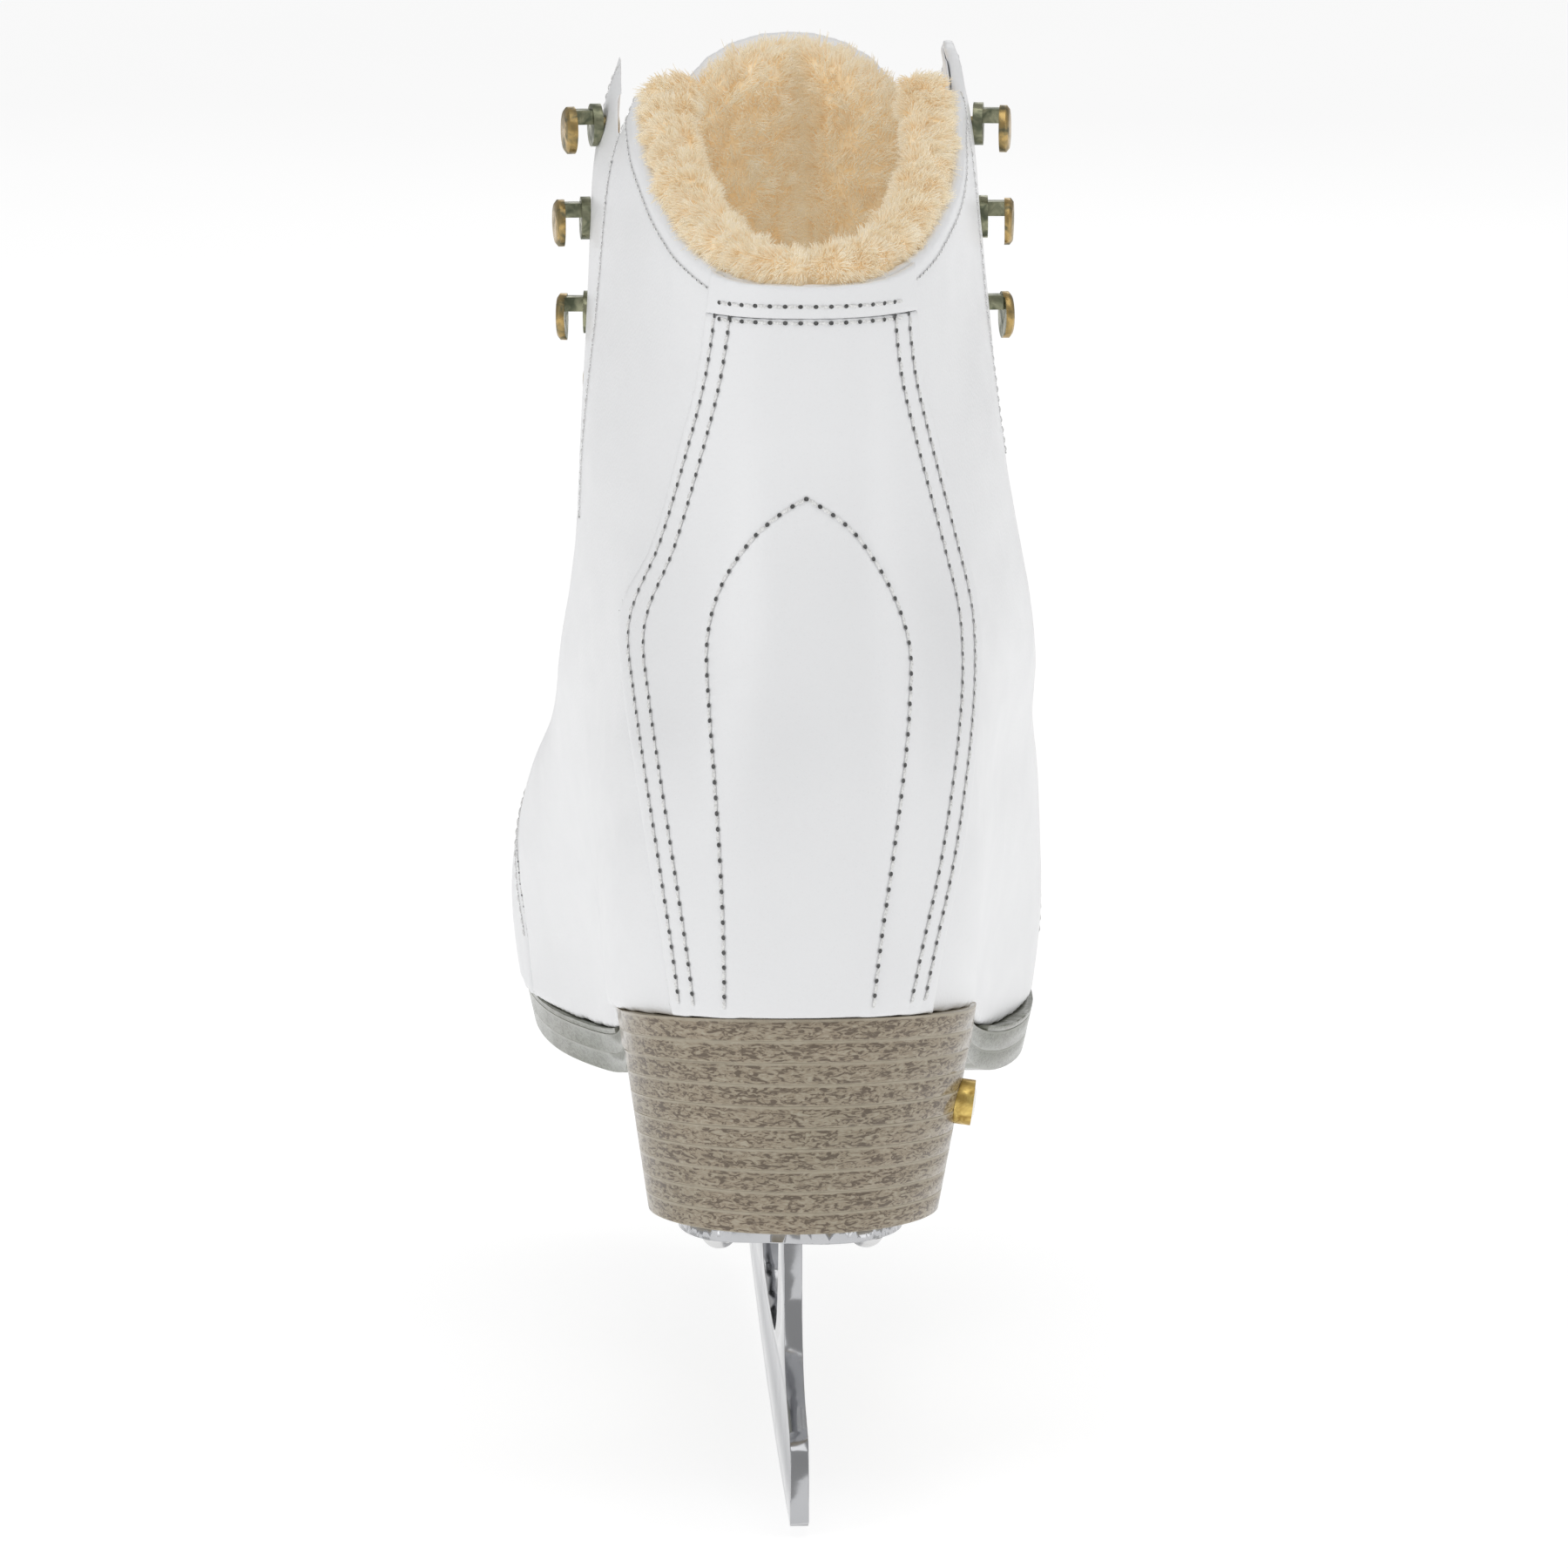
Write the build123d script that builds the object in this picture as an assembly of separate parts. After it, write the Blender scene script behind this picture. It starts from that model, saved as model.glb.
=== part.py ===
from build123d import *
import math
import os

# A right-foot figure skate: a lasted leather boot with a stacked heel, screwed to a steel blade.
# Millimetres. While modelling, +X is lateral (outer side of the foot), +Y runs to the toe, +Z is up,
# y = 0 is the back of the heel and z = 0 is the ice. place() moves each piece to the part's own
# frame, whose origin lies on the ice under the middle of the boot.

CENTRE_X = 2.2
CENTRE_Y = 125.7
WIDE = 200.0                    # half length of any cutting prism

# Boot outline: rings at rising heights. Each ring has its back and front y, the x of those two
# points, and half-widths at fixed fractions of its length, medial side and lateral side.
FRACTIONS = (0.03, 0.10, 0.22, 0.40, 0.60, 0.76, 0.92)
RINGS = (
    (58, 4.0, 253.0, 0.0, -4.0, (18.5, 28.0, 30.5, 30.5, 43.0, 45.5, 31.0), (19.0, 29.5, 32.5, 39.0, 50.0, 46.0, 24.0)),
    (78, 3.0, 258.0, 0.0, -4.0, (20.0, 29.5, 32.0, 32.0, 46.5, 48.0, 33.0), (20.5, 31.0, 34.0, 42.0, 52.7, 49.0, 27.0)),
    (90, 2.0, 259.0, 0.0, -4.0, (20.0, 30.5, 33.0, 33.5, 47.5, 48.0, 33.0), (21.0, 32.0, 35.0, 43.5, 53.5, 49.0, 28.0)),
    (102, -0.5, 254.5, 0.0, -3.5, (20.0, 31.0, 34.0, 35.5, 47.5, 45.0, 27.0), (21.0, 32.5, 36.0, 44.3, 53.0, 46.5, 23.0)),
    (114, -2.0, 244.5, 0.2, -2.5, (19.5, 31.0, 34.5, 37.0, 46.0, 40.5, 21.5), (20.5, 32.5, 37.0, 44.6, 52.0, 43.5, 19.0)),
    (124, -2.0, 225.0, 0.4, -1.0, (18.5, 29.5, 34.5, 37.5, 43.5, 36.0, 17.5), (19.5, 31.5, 37.0, 43.0, 50.5, 40.0, 17.0)),
    (134, -1.2, 198.0, 0.7, 0.3, (17.0, 27.5, 33.5, 37.0, 41.5, 33.5, 15.5), (18.5, 30.0, 36.5, 42.5, 49.0, 38.0, 17.0)),
    (145, 1.0, 172.0, 1.0, 1.0, (15.0, 25.0, 31.5, 36.0, 41.0, 34.0, 15.5), (17.5, 28.5, 35.5, 42.5, 48.5, 39.0, 18.5)),
    (157, 4.8, 153.0, 1.5, 1.0, (12.5, 22.5, 30.0, 35.5, 39.5, 34.5, 18.0), (16.0, 26.5, 34.0, 42.0, 47.0, 40.0, 21.0)),
    (170, 8.0, 137.5, 2.0, 1.0, (10.5, 19.5, 27.5, 34.5, 38.2, 34.5, 21.0), (14.5, 24.0, 32.0, 40.0, 44.8, 40.0, 24.0)),
    (186, 10.6, 124.0, 2.3, 1.0, (9.5, 17.0, 24.5, 32.0, 37.0, 35.5, 24.5), (14.0, 22.0, 29.5, 37.5, 42.0, 40.0, 27.0)),
    (205, 11.2, 117.5, 2.5, 1.0, (9.0, 15.5, 22.0, 29.0, 34.5, 36.0, 29.0), (13.5, 21.0, 27.5, 34.0, 38.8, 39.5, 31.5)),
    (225, 9.0, 113.5, 2.5, 1.0, (8.5, 14.5, 20.0, 26.0, 31.5, 35.0, 32.5), (13.5, 20.0, 26.0, 31.5, 36.0, 38.0, 34.5)),
    (246, 6.0, 110.5, 2.5, 1.0, (8.0, 13.5, 18.5, 23.5, 28.0, 31.5, 32.5), (13.0, 19.0, 24.5, 29.5, 33.5, 35.6, 35.0)),
    (276, 1.5, 107.0, 2.5, 1.0, (8.0, 13.5, 18.0, 22.0, 26.0, 28.5, 28.5), (13.0, 19.0, 24.0, 28.0, 31.5, 33.0, 32.5)),
)

# Thickness of each layer of the upper, as depths below the outer leather surface.
PANEL_PROUD = 1.3
LEATHER = 2.2
STIFFENER = (2.3, 4.0)
FACING = (2.3, 3.4)
PADDING = (4.1, 8.2)
LINING = (8.3, 9.6)
VAMP_LINING = (4.1, 5.3)
COLLAR = (2.3, 9.6)
BOARD_DEPTH = 4.4
FOOTBED_DEPTH = 9.8
TONGUE_LEATHER = (3.0, 4.6)
TONGUE_FOAM = (4.7, 9.6)
TONGUE_PLUSH = (9.7, 12.0)
TONGUE_BASE = (5.6, 10.4)

# Side view curves, (y, z).
FEATHER_LINE = ((-12, 94.9), (0, 93.8), (30, 90.2), (55, 86.6), (72, 82.0), (90, 76.0), (112, 71.6),
                (145, 69.8), (185, 70.2), (220, 73.2), (250, 78.2), (275, 83.0))
RIM_LINE = ((-12, 225.0), (8, 225.5), (20, 227.8), (35, 232.0), (50, 238.2), (65, 246.2), (80, 255.2),
            (92, 262.3), (98, 264.2), (103, 263.2), (107, 259.5), (112, 250), (125, 225))
LATERAL_DROP = ((-20, 0), (70, 0), (95, 3.0), (130, 3.0))
VAMP_SEAM = ((200, 160), (190, 142), (176, 122), (162, 100), (152, 58))
COUNTER_TOP = ((-12, 158), (20, 156), (50, 140), (75, 115), (92, 58))
PUFF_EDGE = ((214, 150), (210, 118), (205, 90), (200, 58))

ROLL_TOP = ((-12, 228.6), (8, 229.2), (20, 231.4), (35, 235.6), (50, 241.6), (65, 249.4), (80, 257.6), (88, 260.6),
            (95, 259.0))

# Half-width of the gap between the two facings, (z, half-width), about THROAT_X.
THROAT_X = 1.0
THROAT = ((137.0, 0.5), (139.0, 7.5), (144, 13), (153, 17.5), (167, 21.5), (186, 26), (212, 29.5), (240, 31),
          (256, 30), (285, 28.5))
THROAT_BACK_Y = 78.0
FACING_WIDTH = 15.0

# Back panel, (z, medial x, lateral x) of its edge.
PANEL = ((90, -22.0, 25.0), (106, -24.0, 27.6), (121, -26.2, 31.0), (137, -28.6, 33.6), (150, -30.4, 35.2),
         (159, -31.2, 35.4), (166, -29.8, 34.4), (177, -24.8, 31.6), (196, -19.8, 26.8), (209, -16.8, 23.8),
         (232, -14.2, 22.0))
BAND_Z = 219.5

# Heel stack and sole.
LIFT_COUNT = 8
SOLE_LAYERS = 2
SOLE_LAYER = 3.7
WELT = 1.2
WELT_START_Y = 95.0
HEEL_BASE_Z = 53.0
HEEL_TOP_Z = 96.0
BREAST_Y = 68.0
HEEL_LEAN = 0.135               # how far the edge leans in for each millimetre down, at the heel
SOLE_LEAN = 0.22                # and round the forefoot
SOLE_PLAN_LATERAL = ((18.5, 5.6), (30.2, 17), (35.0, 36), (35.3, 60), (36.5, 82), (43.5, 106), (50.0, 132),
                     (52.2, 158), (49.5, 190), (38, 222), (18, 249.5))
SOLE_PLAN_MEDIAL = ((-26, 248.5), (-41, 225), (-47, 192), (-46.8, 167), (-41, 135), (-33.0, 108), (-30.4, 84),
                    (-31.2, 60), (-32.0, 36), (-28.0, 17), (-17, 5.6))

# Blade.
BLADE_THICK = 3.4
BLADE_X = 0.4
PLATE_THICK = 2.5
HEEL_PLATE_Y = (10.0, 62.0)
HEEL_PLATE_HALF = 20.2
SOLE_PLATE_Y = (136.0, 234.0)
ROCKER_RADIUS = 2130.0
ROCKER_Y = 84.0
HEEL_SCREWS = ((-13.4, 16.5), (13.4, 16.5), (-12.0, 54.0), (12.0, 54.0))
SOLE_SCREWS = ((-17, 147), (17, 147), (-22, 178), (22, 178), (-15, 220), (15, 220))
SCREW_RADIUS = 2.0
SCREW_HEAD_RADIUS = 3.1
SCREW_LENGTH = 10.5

# Lace hardware.
HOOK_HEIGHTS = (246.0, 228.5, 210.5)
HOOK_BACK_SET = 10.5            # distance of a hook behind the edge of its facing
HOOK_REACH = 6.5
EYELET_HEIGHTS = (152.0, 160.0, 168.5, 177.5, 187.0, 197.0)
EYELET_INSET = 8.0
EYELET_HOLE = 2.3
EYELET_BARREL = 3.0
EYELET_FLANGE = 4.4

# Tongue, seen from the front: (half-width, z) of its arched top, about TONGUE_X.
TONGUE_X = 2.5
TONGUE_HALF = 21.5
TONGUE_TOP_Z = 261.5
TONGUE_SPLIT_Z = 185.0
TONGUE_GAP = 1.6
TONGUE_BACK_Y = 92.0

STUD_AT = (29.0, 73.0)          # y, z of the button on the lateral side of the heel
STUD_X = 31.3
STUD_RADIUS = 4.2


def curve_value(points, at):
    """Height of a piecewise straight line at one place."""
    for (a, va), (b, vb) in zip(points, points[1:]):
        if a <= at <= b:
            return va + (vb - va) * (at - a) / (b - a)
    return points[0][1] if at < points[0][0] else points[-1][1]


def ring_points(ring):
    """The ring's points in order: back, lateral side, front, medial side."""
    z, back, front, back_x, front_x, medial, lateral = ring
    length = front - back
    points = [(back_x, back, z)]
    points += [(w, back + f * length, z) for f, w in zip(FRACTIONS, lateral)]
    points += [(front_x, front, z)]
    points += [(-w, back + f * length, z) for f, w in reversed(list(zip(FRACTIONS, medial)))]
    return points


GRID = [[Vector(*p) for p in ring_points(ring)] for ring in RINGS]
AROUND = len(GRID[0])


def normal_at(row, column):
    """Outward unit normal of the outer surface at a grid point; level on the two end rings."""
    below = GRID[max(row - 1, 0)][column]
    above = GRID[min(row + 1, len(GRID) - 1)][column]
    along = GRID[row][(column + 1) % AROUND] - GRID[row][column - 1]
    normal = along.cross(above - below).normalized()
    if row in (0, len(GRID) - 1):
        normal = Vector(normal.X, normal.Y, 0).normalized()
    return normal


def last(depth):
    """The closed boot form, shrunk by depth (negative grows it)."""
    wires = []
    for row, ring in enumerate(GRID):
        points = [p - normal_at(row, column) * depth for column, p in enumerate(ring)]
        wires.append(Wire([Spline(*points, periodic=True)]))
    return Solid.make_loft(wires)


LASTS = {}


def form(depth):
    if depth not in LASTS:
        LASTS[depth] = last(depth)
    return LASTS[depth]


def skin(depths, window_prism):
    """A layer of the boot between two depths, trimmed by a prism that stays clear of the form's ends."""
    outer, inner = depths
    return (form(outer) & window_prism) - form(inner)


def catmull(a, b, c, d, t):
    return 0.5 * (2 * b + (c - a) * t + (2 * a - 5 * b + 4 * c - d) * t * t + (3 * b - a - 3 * c + d) * t ** 3)


def surface_point(row, column):
    """Smooth interpolation of the grid; row and column may be fractions."""
    i = min(int(row), len(GRID) - 2)
    j = int(column)
    lines = []
    for r in (max(i - 1, 0), i, i + 1, min(i + 2, len(GRID) - 1)):
        ring = GRID[r]
        lines.append(catmull(ring[(j - 1) % AROUND], ring[j % AROUND], ring[(j + 1) % AROUND],
                             ring[(j + 2) % AROUND], column - j))
    return catmull(*lines, row - i)


def side_prism(points, low_x=-WIDE, high_x=WIDE):
    """Prism along X over a (y, z) outline."""
    face = make_face(Polyline(*[(0, y, z) for y, z in points], close=True))
    return Pos(low_x, 0, 0) * extrude(face, high_x - low_x, dir=(1, 0, 0))


def back_prism(points, low_y, high_y):
    """Prism along Y over an (x, z) outline."""
    face = make_face(Polyline(*[(x, 0, z) for x, z in points], close=True))
    return Pos(0, low_y, 0) * extrude(face, high_y - low_y, dir=(0, 1, 0))


def block(low, high):
    size = [b - a for a, b in zip(low, high)]
    middle = [(a + b) / 2 for a, b in zip(low, high)]
    return Pos(*middle) * Box(*size)


def smooth(points, count=6):
    """Catmull-Rom points through a list of 2-D points."""
    out = []
    padded = [points[0], *points, points[-1]]
    for a, b, c, d in zip(padded, padded[1:], padded[2:], padded[3:]):
        for k in range(count):
            t = k / count
            out.append(tuple(catmull(a[i], b[i], c[i], d[i], t) for i in range(2)))
    out.append(points[-1])
    return out


FEATHER = smooth(FEATHER_LINE)
RIM = smooth(RIM_LINE)


def raised(line, rise):
    return [(y, z + rise) for y, z in line]


def clipped(line, start, end):
    """The part of a side curve between two y values."""
    inner = [(y, z) for y, z in line if start < y < end]
    return [(start, curve_value(line, start)), *inner, (end, curve_value(line, end))]


def between(top, bottom):
    """Prism between two side curves."""
    return side_prism(list(top) + list(reversed(bottom)))


def window(start, end, bottom_rise, top):
    """Prism from the feather line, raised, to a top curve, between two y values."""
    return between(clipped(top, start, end), clipped(raised(FEATHER, bottom_rise), start, end))


def flat_top(z):
    return [(-12, z), (275, z)]


def throat(extra=0.0):
    """Prism of the lacing gap, widened by extra."""
    half = smooth(THROAT)
    right = [(THROAT_X + w + extra, z) for z, w in half]
    left = [(THROAT_X - w - extra, z) for z, w in reversed(half)]
    return back_prism(right + left, THROAT_BACK_Y, 320)


def ahead_of(line):
    """Everything in front of a side curve that runs downwards."""
    return side_prism(list(line) + [(300, line[-1][1]), (300, line[0][1])])


def behind(line):
    return side_prism(list(line) + [(-40, line[-1][1]), (-40, line[0][1])])


MEDIAL_SIDE = block((-WIDE, -60, 0), (THROAT_X, 320, 320))
LATERAL_SIDE = block((THROAT_X, -60, 0), (WIDE, 320, 320))


def back_panel_prism():
    medial = smooth([(x, z) for z, x, _ in PANEL])
    lateral = smooth([(x, z) for z, _, x in PANEL])
    return back_prism(lateral + list(reversed(medial)), -40, 62)


def heel_outline(z):
    """Wire of the heel stack at height z: a round back, tapering sides and a straight breast."""
    rise = (z - HEEL_BASE_Z) / (HEEL_TOP_Z - HEEL_BASE_Z)
    half = 26.6 + (33.8 - 26.6) * rise
    back = 6.6 + (0.6 - 6.6) * rise
    breast = BREAST_Y - 6 + 6 * rise
    middle_x = 0.7 + 0.9 * rise
    arc = [(math.cos(a), math.sin(a)) for a in [math.radians(180 + 22.5 * k) for k in range(9)]]
    rounding = half * 0.98
    curve = [Vector(middle_x + half * c, back + rounding + rounding * s, z) for c, s in arc]
    corner_right = Vector(middle_x + half * 0.97, breast, z)
    corner_left = Vector(middle_x - half * 0.97, breast, z)
    return Wire([Spline(*curve), Line(curve[-1], corner_right), Line(corner_right, corner_left),
                 Line(corner_left, curve[0])])


def heel_block():
    return Solid.make_loft([heel_outline(HEEL_BASE_Z), heel_outline(HEEL_TOP_Z)], True)


def heel_line(share):
    """Side curve at a share of the height between the heel's base and the feather line."""
    return [(y, HEEL_BASE_Z + (z - HEEL_BASE_Z) * share) for y, z in FEATHER]


def sole_outline(z):
    """Closed wire of the sole's edge at height z; the edge leans inwards towards the ground."""
    points = [(0.7, 1.0), *SOLE_PLAN_LATERAL, (-4, 258.5), *SOLE_PLAN_MEDIAL]
    leaned = []
    for x, y in points:
        share = min(max((y - 40) / 80, 0), 1)
        inset = (94 - z) * HEEL_LEAN * (1 - share) + (71 - z) * SOLE_LEAN * share
        point = Vector(x, y, z)
        spine = Vector(0.7, min(max(y, 32), 200), z)
        leaned.append(point + (spine - point).normalized() * inset)
    return Wire([Spline(*leaned, periodic=True)])


def sole_body():
    return Solid.make_loft([sole_outline(56), sole_outline(98)], True)


def layer_line(depth_heel, depth_front):
    """Feather line lowered by one depth under the heel and another under the forefoot."""
    line = []
    for y, z in FEATHER:
        share = min(max((y - 60) / 35, 0), 1)
        line.append((y, z - depth_heel * (z - HEEL_BASE_Z) / 40.5 * (1 - share) - depth_front * share))
    return line


HEEL_LAYER = 40.5 / (LIFT_COUNT + SOLE_LAYERS)
SOLE_LINES = (
    layer_line(0.0, WELT),
    layer_line(HEEL_LAYER, WELT + SOLE_LAYER),
    layer_line(HEEL_LAYER * 2, WELT + SOLE_LAYER * 2),
)


def sole_bottom_z(y):
    return curve_value(SOLE_LINES[2], y)


def screw(x, y, seat_z):
    """A round-headed wood screw, head down, seated on a plate's lower face."""
    shank = Pos(x, y, seat_z + SCREW_LENGTH / 2 - 0.2) * Cylinder(SCREW_RADIUS, SCREW_LENGTH)
    dome_radius = 3.4
    dome = Pos(x, y, seat_z + 1.4) * Sphere(dome_radius)
    head = dome & (Pos(x, y, seat_z - 2) * Cylinder(SCREW_HEAD_RADIUS, 4))
    slot = Pos(x, y, seat_z - 2.2) * Box(4.4, 0.9, 1.4)
    return shank + head - slot


def heel_screws():
    return [screw(x, y, HEEL_BASE_Z - PLATE_THICK) for x, y in HEEL_SCREWS]


def sole_screws():
    return [screw(x, y, sole_bottom_z(y) - PLATE_THICK - 0.3) for x, y in SOLE_SCREWS]


def drilled(shape, holes, radius=SCREW_RADIUS + 0.03):
    for x, y in holes:
        shape -= Pos(x, y, 60) * Cylinder(radius, 60)
    return shape


def rounded_plan(points, z, thick):
    face = make_face(Spline(*[(x, y, z) for x, y in points], periodic=True))
    return extrude(face, thick, dir=(0, 0, 1))


def heel_plate():
    half = HEEL_PLATE_HALF
    back, front = HEEL_PLATE_Y
    outline = ((0, back), (half * 0.72, back + 3.2), (half, back + 14), (half * 0.97, 38), (half * 0.8, 54),
               (9, front), (-9, front), (-half * 0.8, 54), (-half * 0.97, 38), (-half, back + 14),
               (-half * 0.72, back + 3.2))
    plate = rounded_plan(outline, HEEL_BASE_Z - PLATE_THICK, PLATE_THICK)
    return drilled(plate, HEEL_SCREWS)


def sole_plate():
    back, front = SOLE_PLATE_Y
    outline = ((0, back), (16, back + 1.5), (24, 150), (30, 176), (29, 200), (20, 224), (8, front), (-8, front),
               (-20, 224), (-29, 200), (-30, 176), (-24, 150), (-16, back + 1.5))
    prism = rounded_plan(outline, 40, 50)
    plate = prism & between(SOLE_LINES[2], raised(SOLE_LINES[2], -PLATE_THICK))
    return drilled(plate, SOLE_SCREWS)


def rocker_z(y):
    """Height of the blade's lower edge over the ice: one long arc."""
    return ROCKER_RADIUS - math.sqrt(ROCKER_RADIUS ** 2 - (y - ROCKER_Y) ** 2)


def runner():
    """Steel runner with its two stanchions and the toe rake, as one plate in the plane of the foot."""
    seat_heel = HEEL_BASE_Z - PLATE_THICK
    seat_sole = [(y, sole_bottom_z(y) - PLATE_THICK) for y in (224, 212, 200, 188, 176, 168, 162)]
    rake = []
    for k in range(6):
        y = 236.5 + 2.2 * k
        rake += [(y, rocker_z(y) + 0.6 + 0.55 * k * k), (y + 0.5, rocker_z(y) + 3.4 + 0.75 * k * k)]
    bottom = [(y, rocker_z(y)) for y in range(-6, 234, 12)]
    gap = smooth([(160, 52), (157, 38), (151, 27), (140, 20.5), (122, 18.6), (95, 18.4), (76, 20),
                  (63, 26), (56, 36), (52.5, 46)], 4)
    tail = smooth([(25.5, 47), (25, 36), (21, 27), (13, 22), (2, 19.2), (-5, 17.4), (-7.8, 13), (-8, 3)], 4)
    front = smooth([(249.5, 27), (245, 33), (237, 42), (229, 52)], 4)
    outline = bottom + rake + front + seat_sole + gap + [(52, seat_heel), (26, seat_heel)] + tail
    return side_prism(outline, BLADE_X - BLADE_THICK / 2, BLADE_X + BLADE_THICK / 2)


def facing_edge(z, side):
    """y of the front edge of a facing at height z."""
    half = curve_value(THROAT, z)
    low, high = (5.0, 8.0) if side > 0 else (11.0, 8.0)
    row = ring_row(z)
    for _ in range(40):
        middle = 0.5 * (low + high)
        if side * (surface_point(row, middle).X - THROAT_X) > half:
            low = middle
        else:
            high = middle
    return surface_point(row, low).Y


def ring_row(z):
    """Fractional ring number of a height."""
    for i, (a, b) in enumerate(zip(RINGS, RINGS[1:])):
        if a[0] <= z <= b[0]:
            return i + (z - a[0]) / (b[0] - a[0])
    raise ValueError(z)


def surface_at(z, side, y=None, x=None):
    """Point and outward normal on one side of the boot at height z, found by its y or by its x."""
    row = ring_row(z)
    low, high = (2.0, 8.0) if side > 0 else (14.0, 8.0)
    for _ in range(40):
        middle = 0.5 * (low + high)
        point = surface_point(row, middle)
        past = point.Y > y if y is not None else (side * (point.X - THROAT_X) < x and point.Y > THROAT_BACK_Y)
        if past:
            high = middle
        else:
            low = middle
    step = 0.05
    point = surface_point(row, low)
    along = surface_point(row, low + step) - surface_point(row, low - step)
    up = surface_point(row + step, low) - surface_point(row - step, low)
    return point, along.cross(up).normalized()


def hook_frame(z, side):
    point, normal = surface_at(z, side, y=facing_edge(z, side) - HOOK_BACK_SET)
    outward = Vector(normal.X, normal.Y * 0.5, 0).normalized()
    return Plane(origin=point, x_dir=(0, 0, 1), z_dir=outward)


def hook(z, side):
    """A lace hook: foot against the leather, neck, and a domed head that hangs below the neck."""
    frame = hook_frame(z, side)
    foot = Cylinder(4.0, 1.8)
    neck = Pos(1.6, 0, HOOK_REACH / 2 - 0.6) * Box(2.6, 4.4, HOOK_REACH - 0.6)
    dome = Pos(-0.9, 0, HOOK_REACH - 9.4) * Sphere(10.2)
    disc = Pos(-0.9, 0, HOOK_REACH - 1.2) * Cylinder(4.4, 2.6)
    shape = foot + neck + (dome & disc)
    return (frame * shape) - form(0.0)


def hook_rivet(z, side):
    """Tubular rivet behind a hook, clenched on the inside of the facing."""
    frame = hook_frame(z, side)
    return frame * (Pos(0, 0, -2.2) * Cylinder(1.4, 3.4) + Pos(0, 0, -3.9) * Cylinder(2.6, 0.5))


def eyelet_frame(z, side):
    point, normal = surface_at(z, side, x=curve_value(THROAT, z) + EYELET_INSET)
    return Plane(origin=point, z_dir=normal)


def eyelet_hole(z, side, radius=EYELET_BARREL):
    return eyelet_frame(z, side) * Pos(0, 0, -1.5) * Cylinder(radius, 12)


def eyelet(z, side, leather):
    """Rolled brass eyelet: a barrel through the leather with a flange outside."""
    barrel = Pos(0, 0, -1.35) * Cylinder(EYELET_BARREL, 4.5)
    flange = Pos(0, 0, 0.3) * Cylinder(EYELET_FLANGE, 1.2)
    ring = eyelet_frame(z, side) * (barrel + flange)
    ring -= leather
    ring -= eyelet_hole(z, side, EYELET_HOLE)
    return ring.solids().sort_by(SortBy.VOLUME)[-1]


def tongue_prism(low_z, half, top_z=None):
    """Arched prism of the tongue's front view."""
    top = TONGUE_TOP_Z if top_z is None else top_z
    arch = [(TONGUE_X + half * math.cos(a), top - half * 0.72 + half * 0.72 * math.sin(a))
            for a in [math.radians(15 * k) for k in range(13)]]
    return back_prism([(TONGUE_X + half, low_z), *arch, (TONGUE_X - half, low_z)], TONGUE_BACK_Y, 300)


def place(shape):
    return Pos(-CENTRE_X, -CENTRE_Y, 0) * shape


def write(name, *shapes):
    solids = []
    for shape in shapes:
        solids += [s for s in shape.solids() if s.volume > 1.0]
    solids = [place(s) for s in solids]
    whole = solids[0] if len(solids) == 1 else Compound(children=solids)
    export_step(whole, f"parts/{name}.step")
    print(name, len(solids), round(sum(s.volume for s in solids)), flush=True)


def build_upper():
    low_rim = [(y, z - curve_value(LATERAL_DROP, y)) for y, z in RIM]
    over_lateral = side_prism([*low_rim, (125, 330), (-12, 330)], THROAT_X)
    boot = window(-12, 275, 0.0, [*RIM, (275, 225)]) - throat() - over_lateral
    vamp_side = ahead_of(VAMP_SEAM)
    leather = skin((0.0, LEATHER), boot)
    write("vamp", leather & vamp_side)
    quarters = leather - vamp_side
    strip = throat(FACING_WIDTH) & block((-WIDE, 0, 141), (WIDE, 320, 320))
    facings = skin(FACING, boot & strip)
    under_roll = raised(RIM, -12.2)
    ankle = window(-12, 104, 2.6, under_roll) - throat(6.0)
    padding = skin(PADDING, ankle)
    lining = skin(LINING, ankle)
    write("vamp_lining", skin(VAMP_LINING, window(104.2, 275, 2.6, flat_top(180)) - throat(6.0)))
    roll_top = smooth(ROLL_TOP)
    roll = between(roll_top, clipped(raised(RIM, -12.0), -12, roll_top[-1][0])) - throat(2.5)
    write("collar_roll", skin(COLLAR, roll))
    write("heel_counter", skin(STIFFENER, window(-12, 95, 0.1, flat_top(170)) & behind(COUNTER_TOP)))
    write("toe_puff", skin(STIFFENER, window(195, 275, 0.1, flat_top(150)) & ahead_of(PUFF_EDGE)))
    panel_window = window(-12, 62, 0.0, RIM) & back_panel_prism()
    band_box = block((-WIDE, -60, BAND_Z), (WIDE, 120, 320))
    panel = skin((-PANEL_PROUD, -0.05), panel_window)
    write("back_panel", panel - band_box)
    write("top_band", panel & band_box)
    for name, half, side in (("medial", MEDIAL_SIDE, -1), ("lateral", LATERAL_SIDE, 1)):
        rivets = [hook_rivet(z, side) for z in HOOK_HEIGHTS]
        holes = [eyelet_hole(z, side) for z in EYELET_HEIGHTS]
        quarter = quarters & half
        facing = facings & half
        for tool in rivets + holes:
            quarter -= tool
            facing -= tool
        write(f"{name}_quarter", quarter)
        write(f"{name}_facing", facing)
        write(f"{name}_padding", padding & half)
        write(f"{name}_lining", lining & half)
        write(f"{name}_eyelets", *[eyelet(z, side, quarter) for z in EYELET_HEIGHTS])
        write(f"{name}_hooks", *[hook(z, side) - rivet for z, rivet in zip(HOOK_HEIGHTS, rivets)])
        write(f"{name}_hook_rivets", *rivets)


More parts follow.
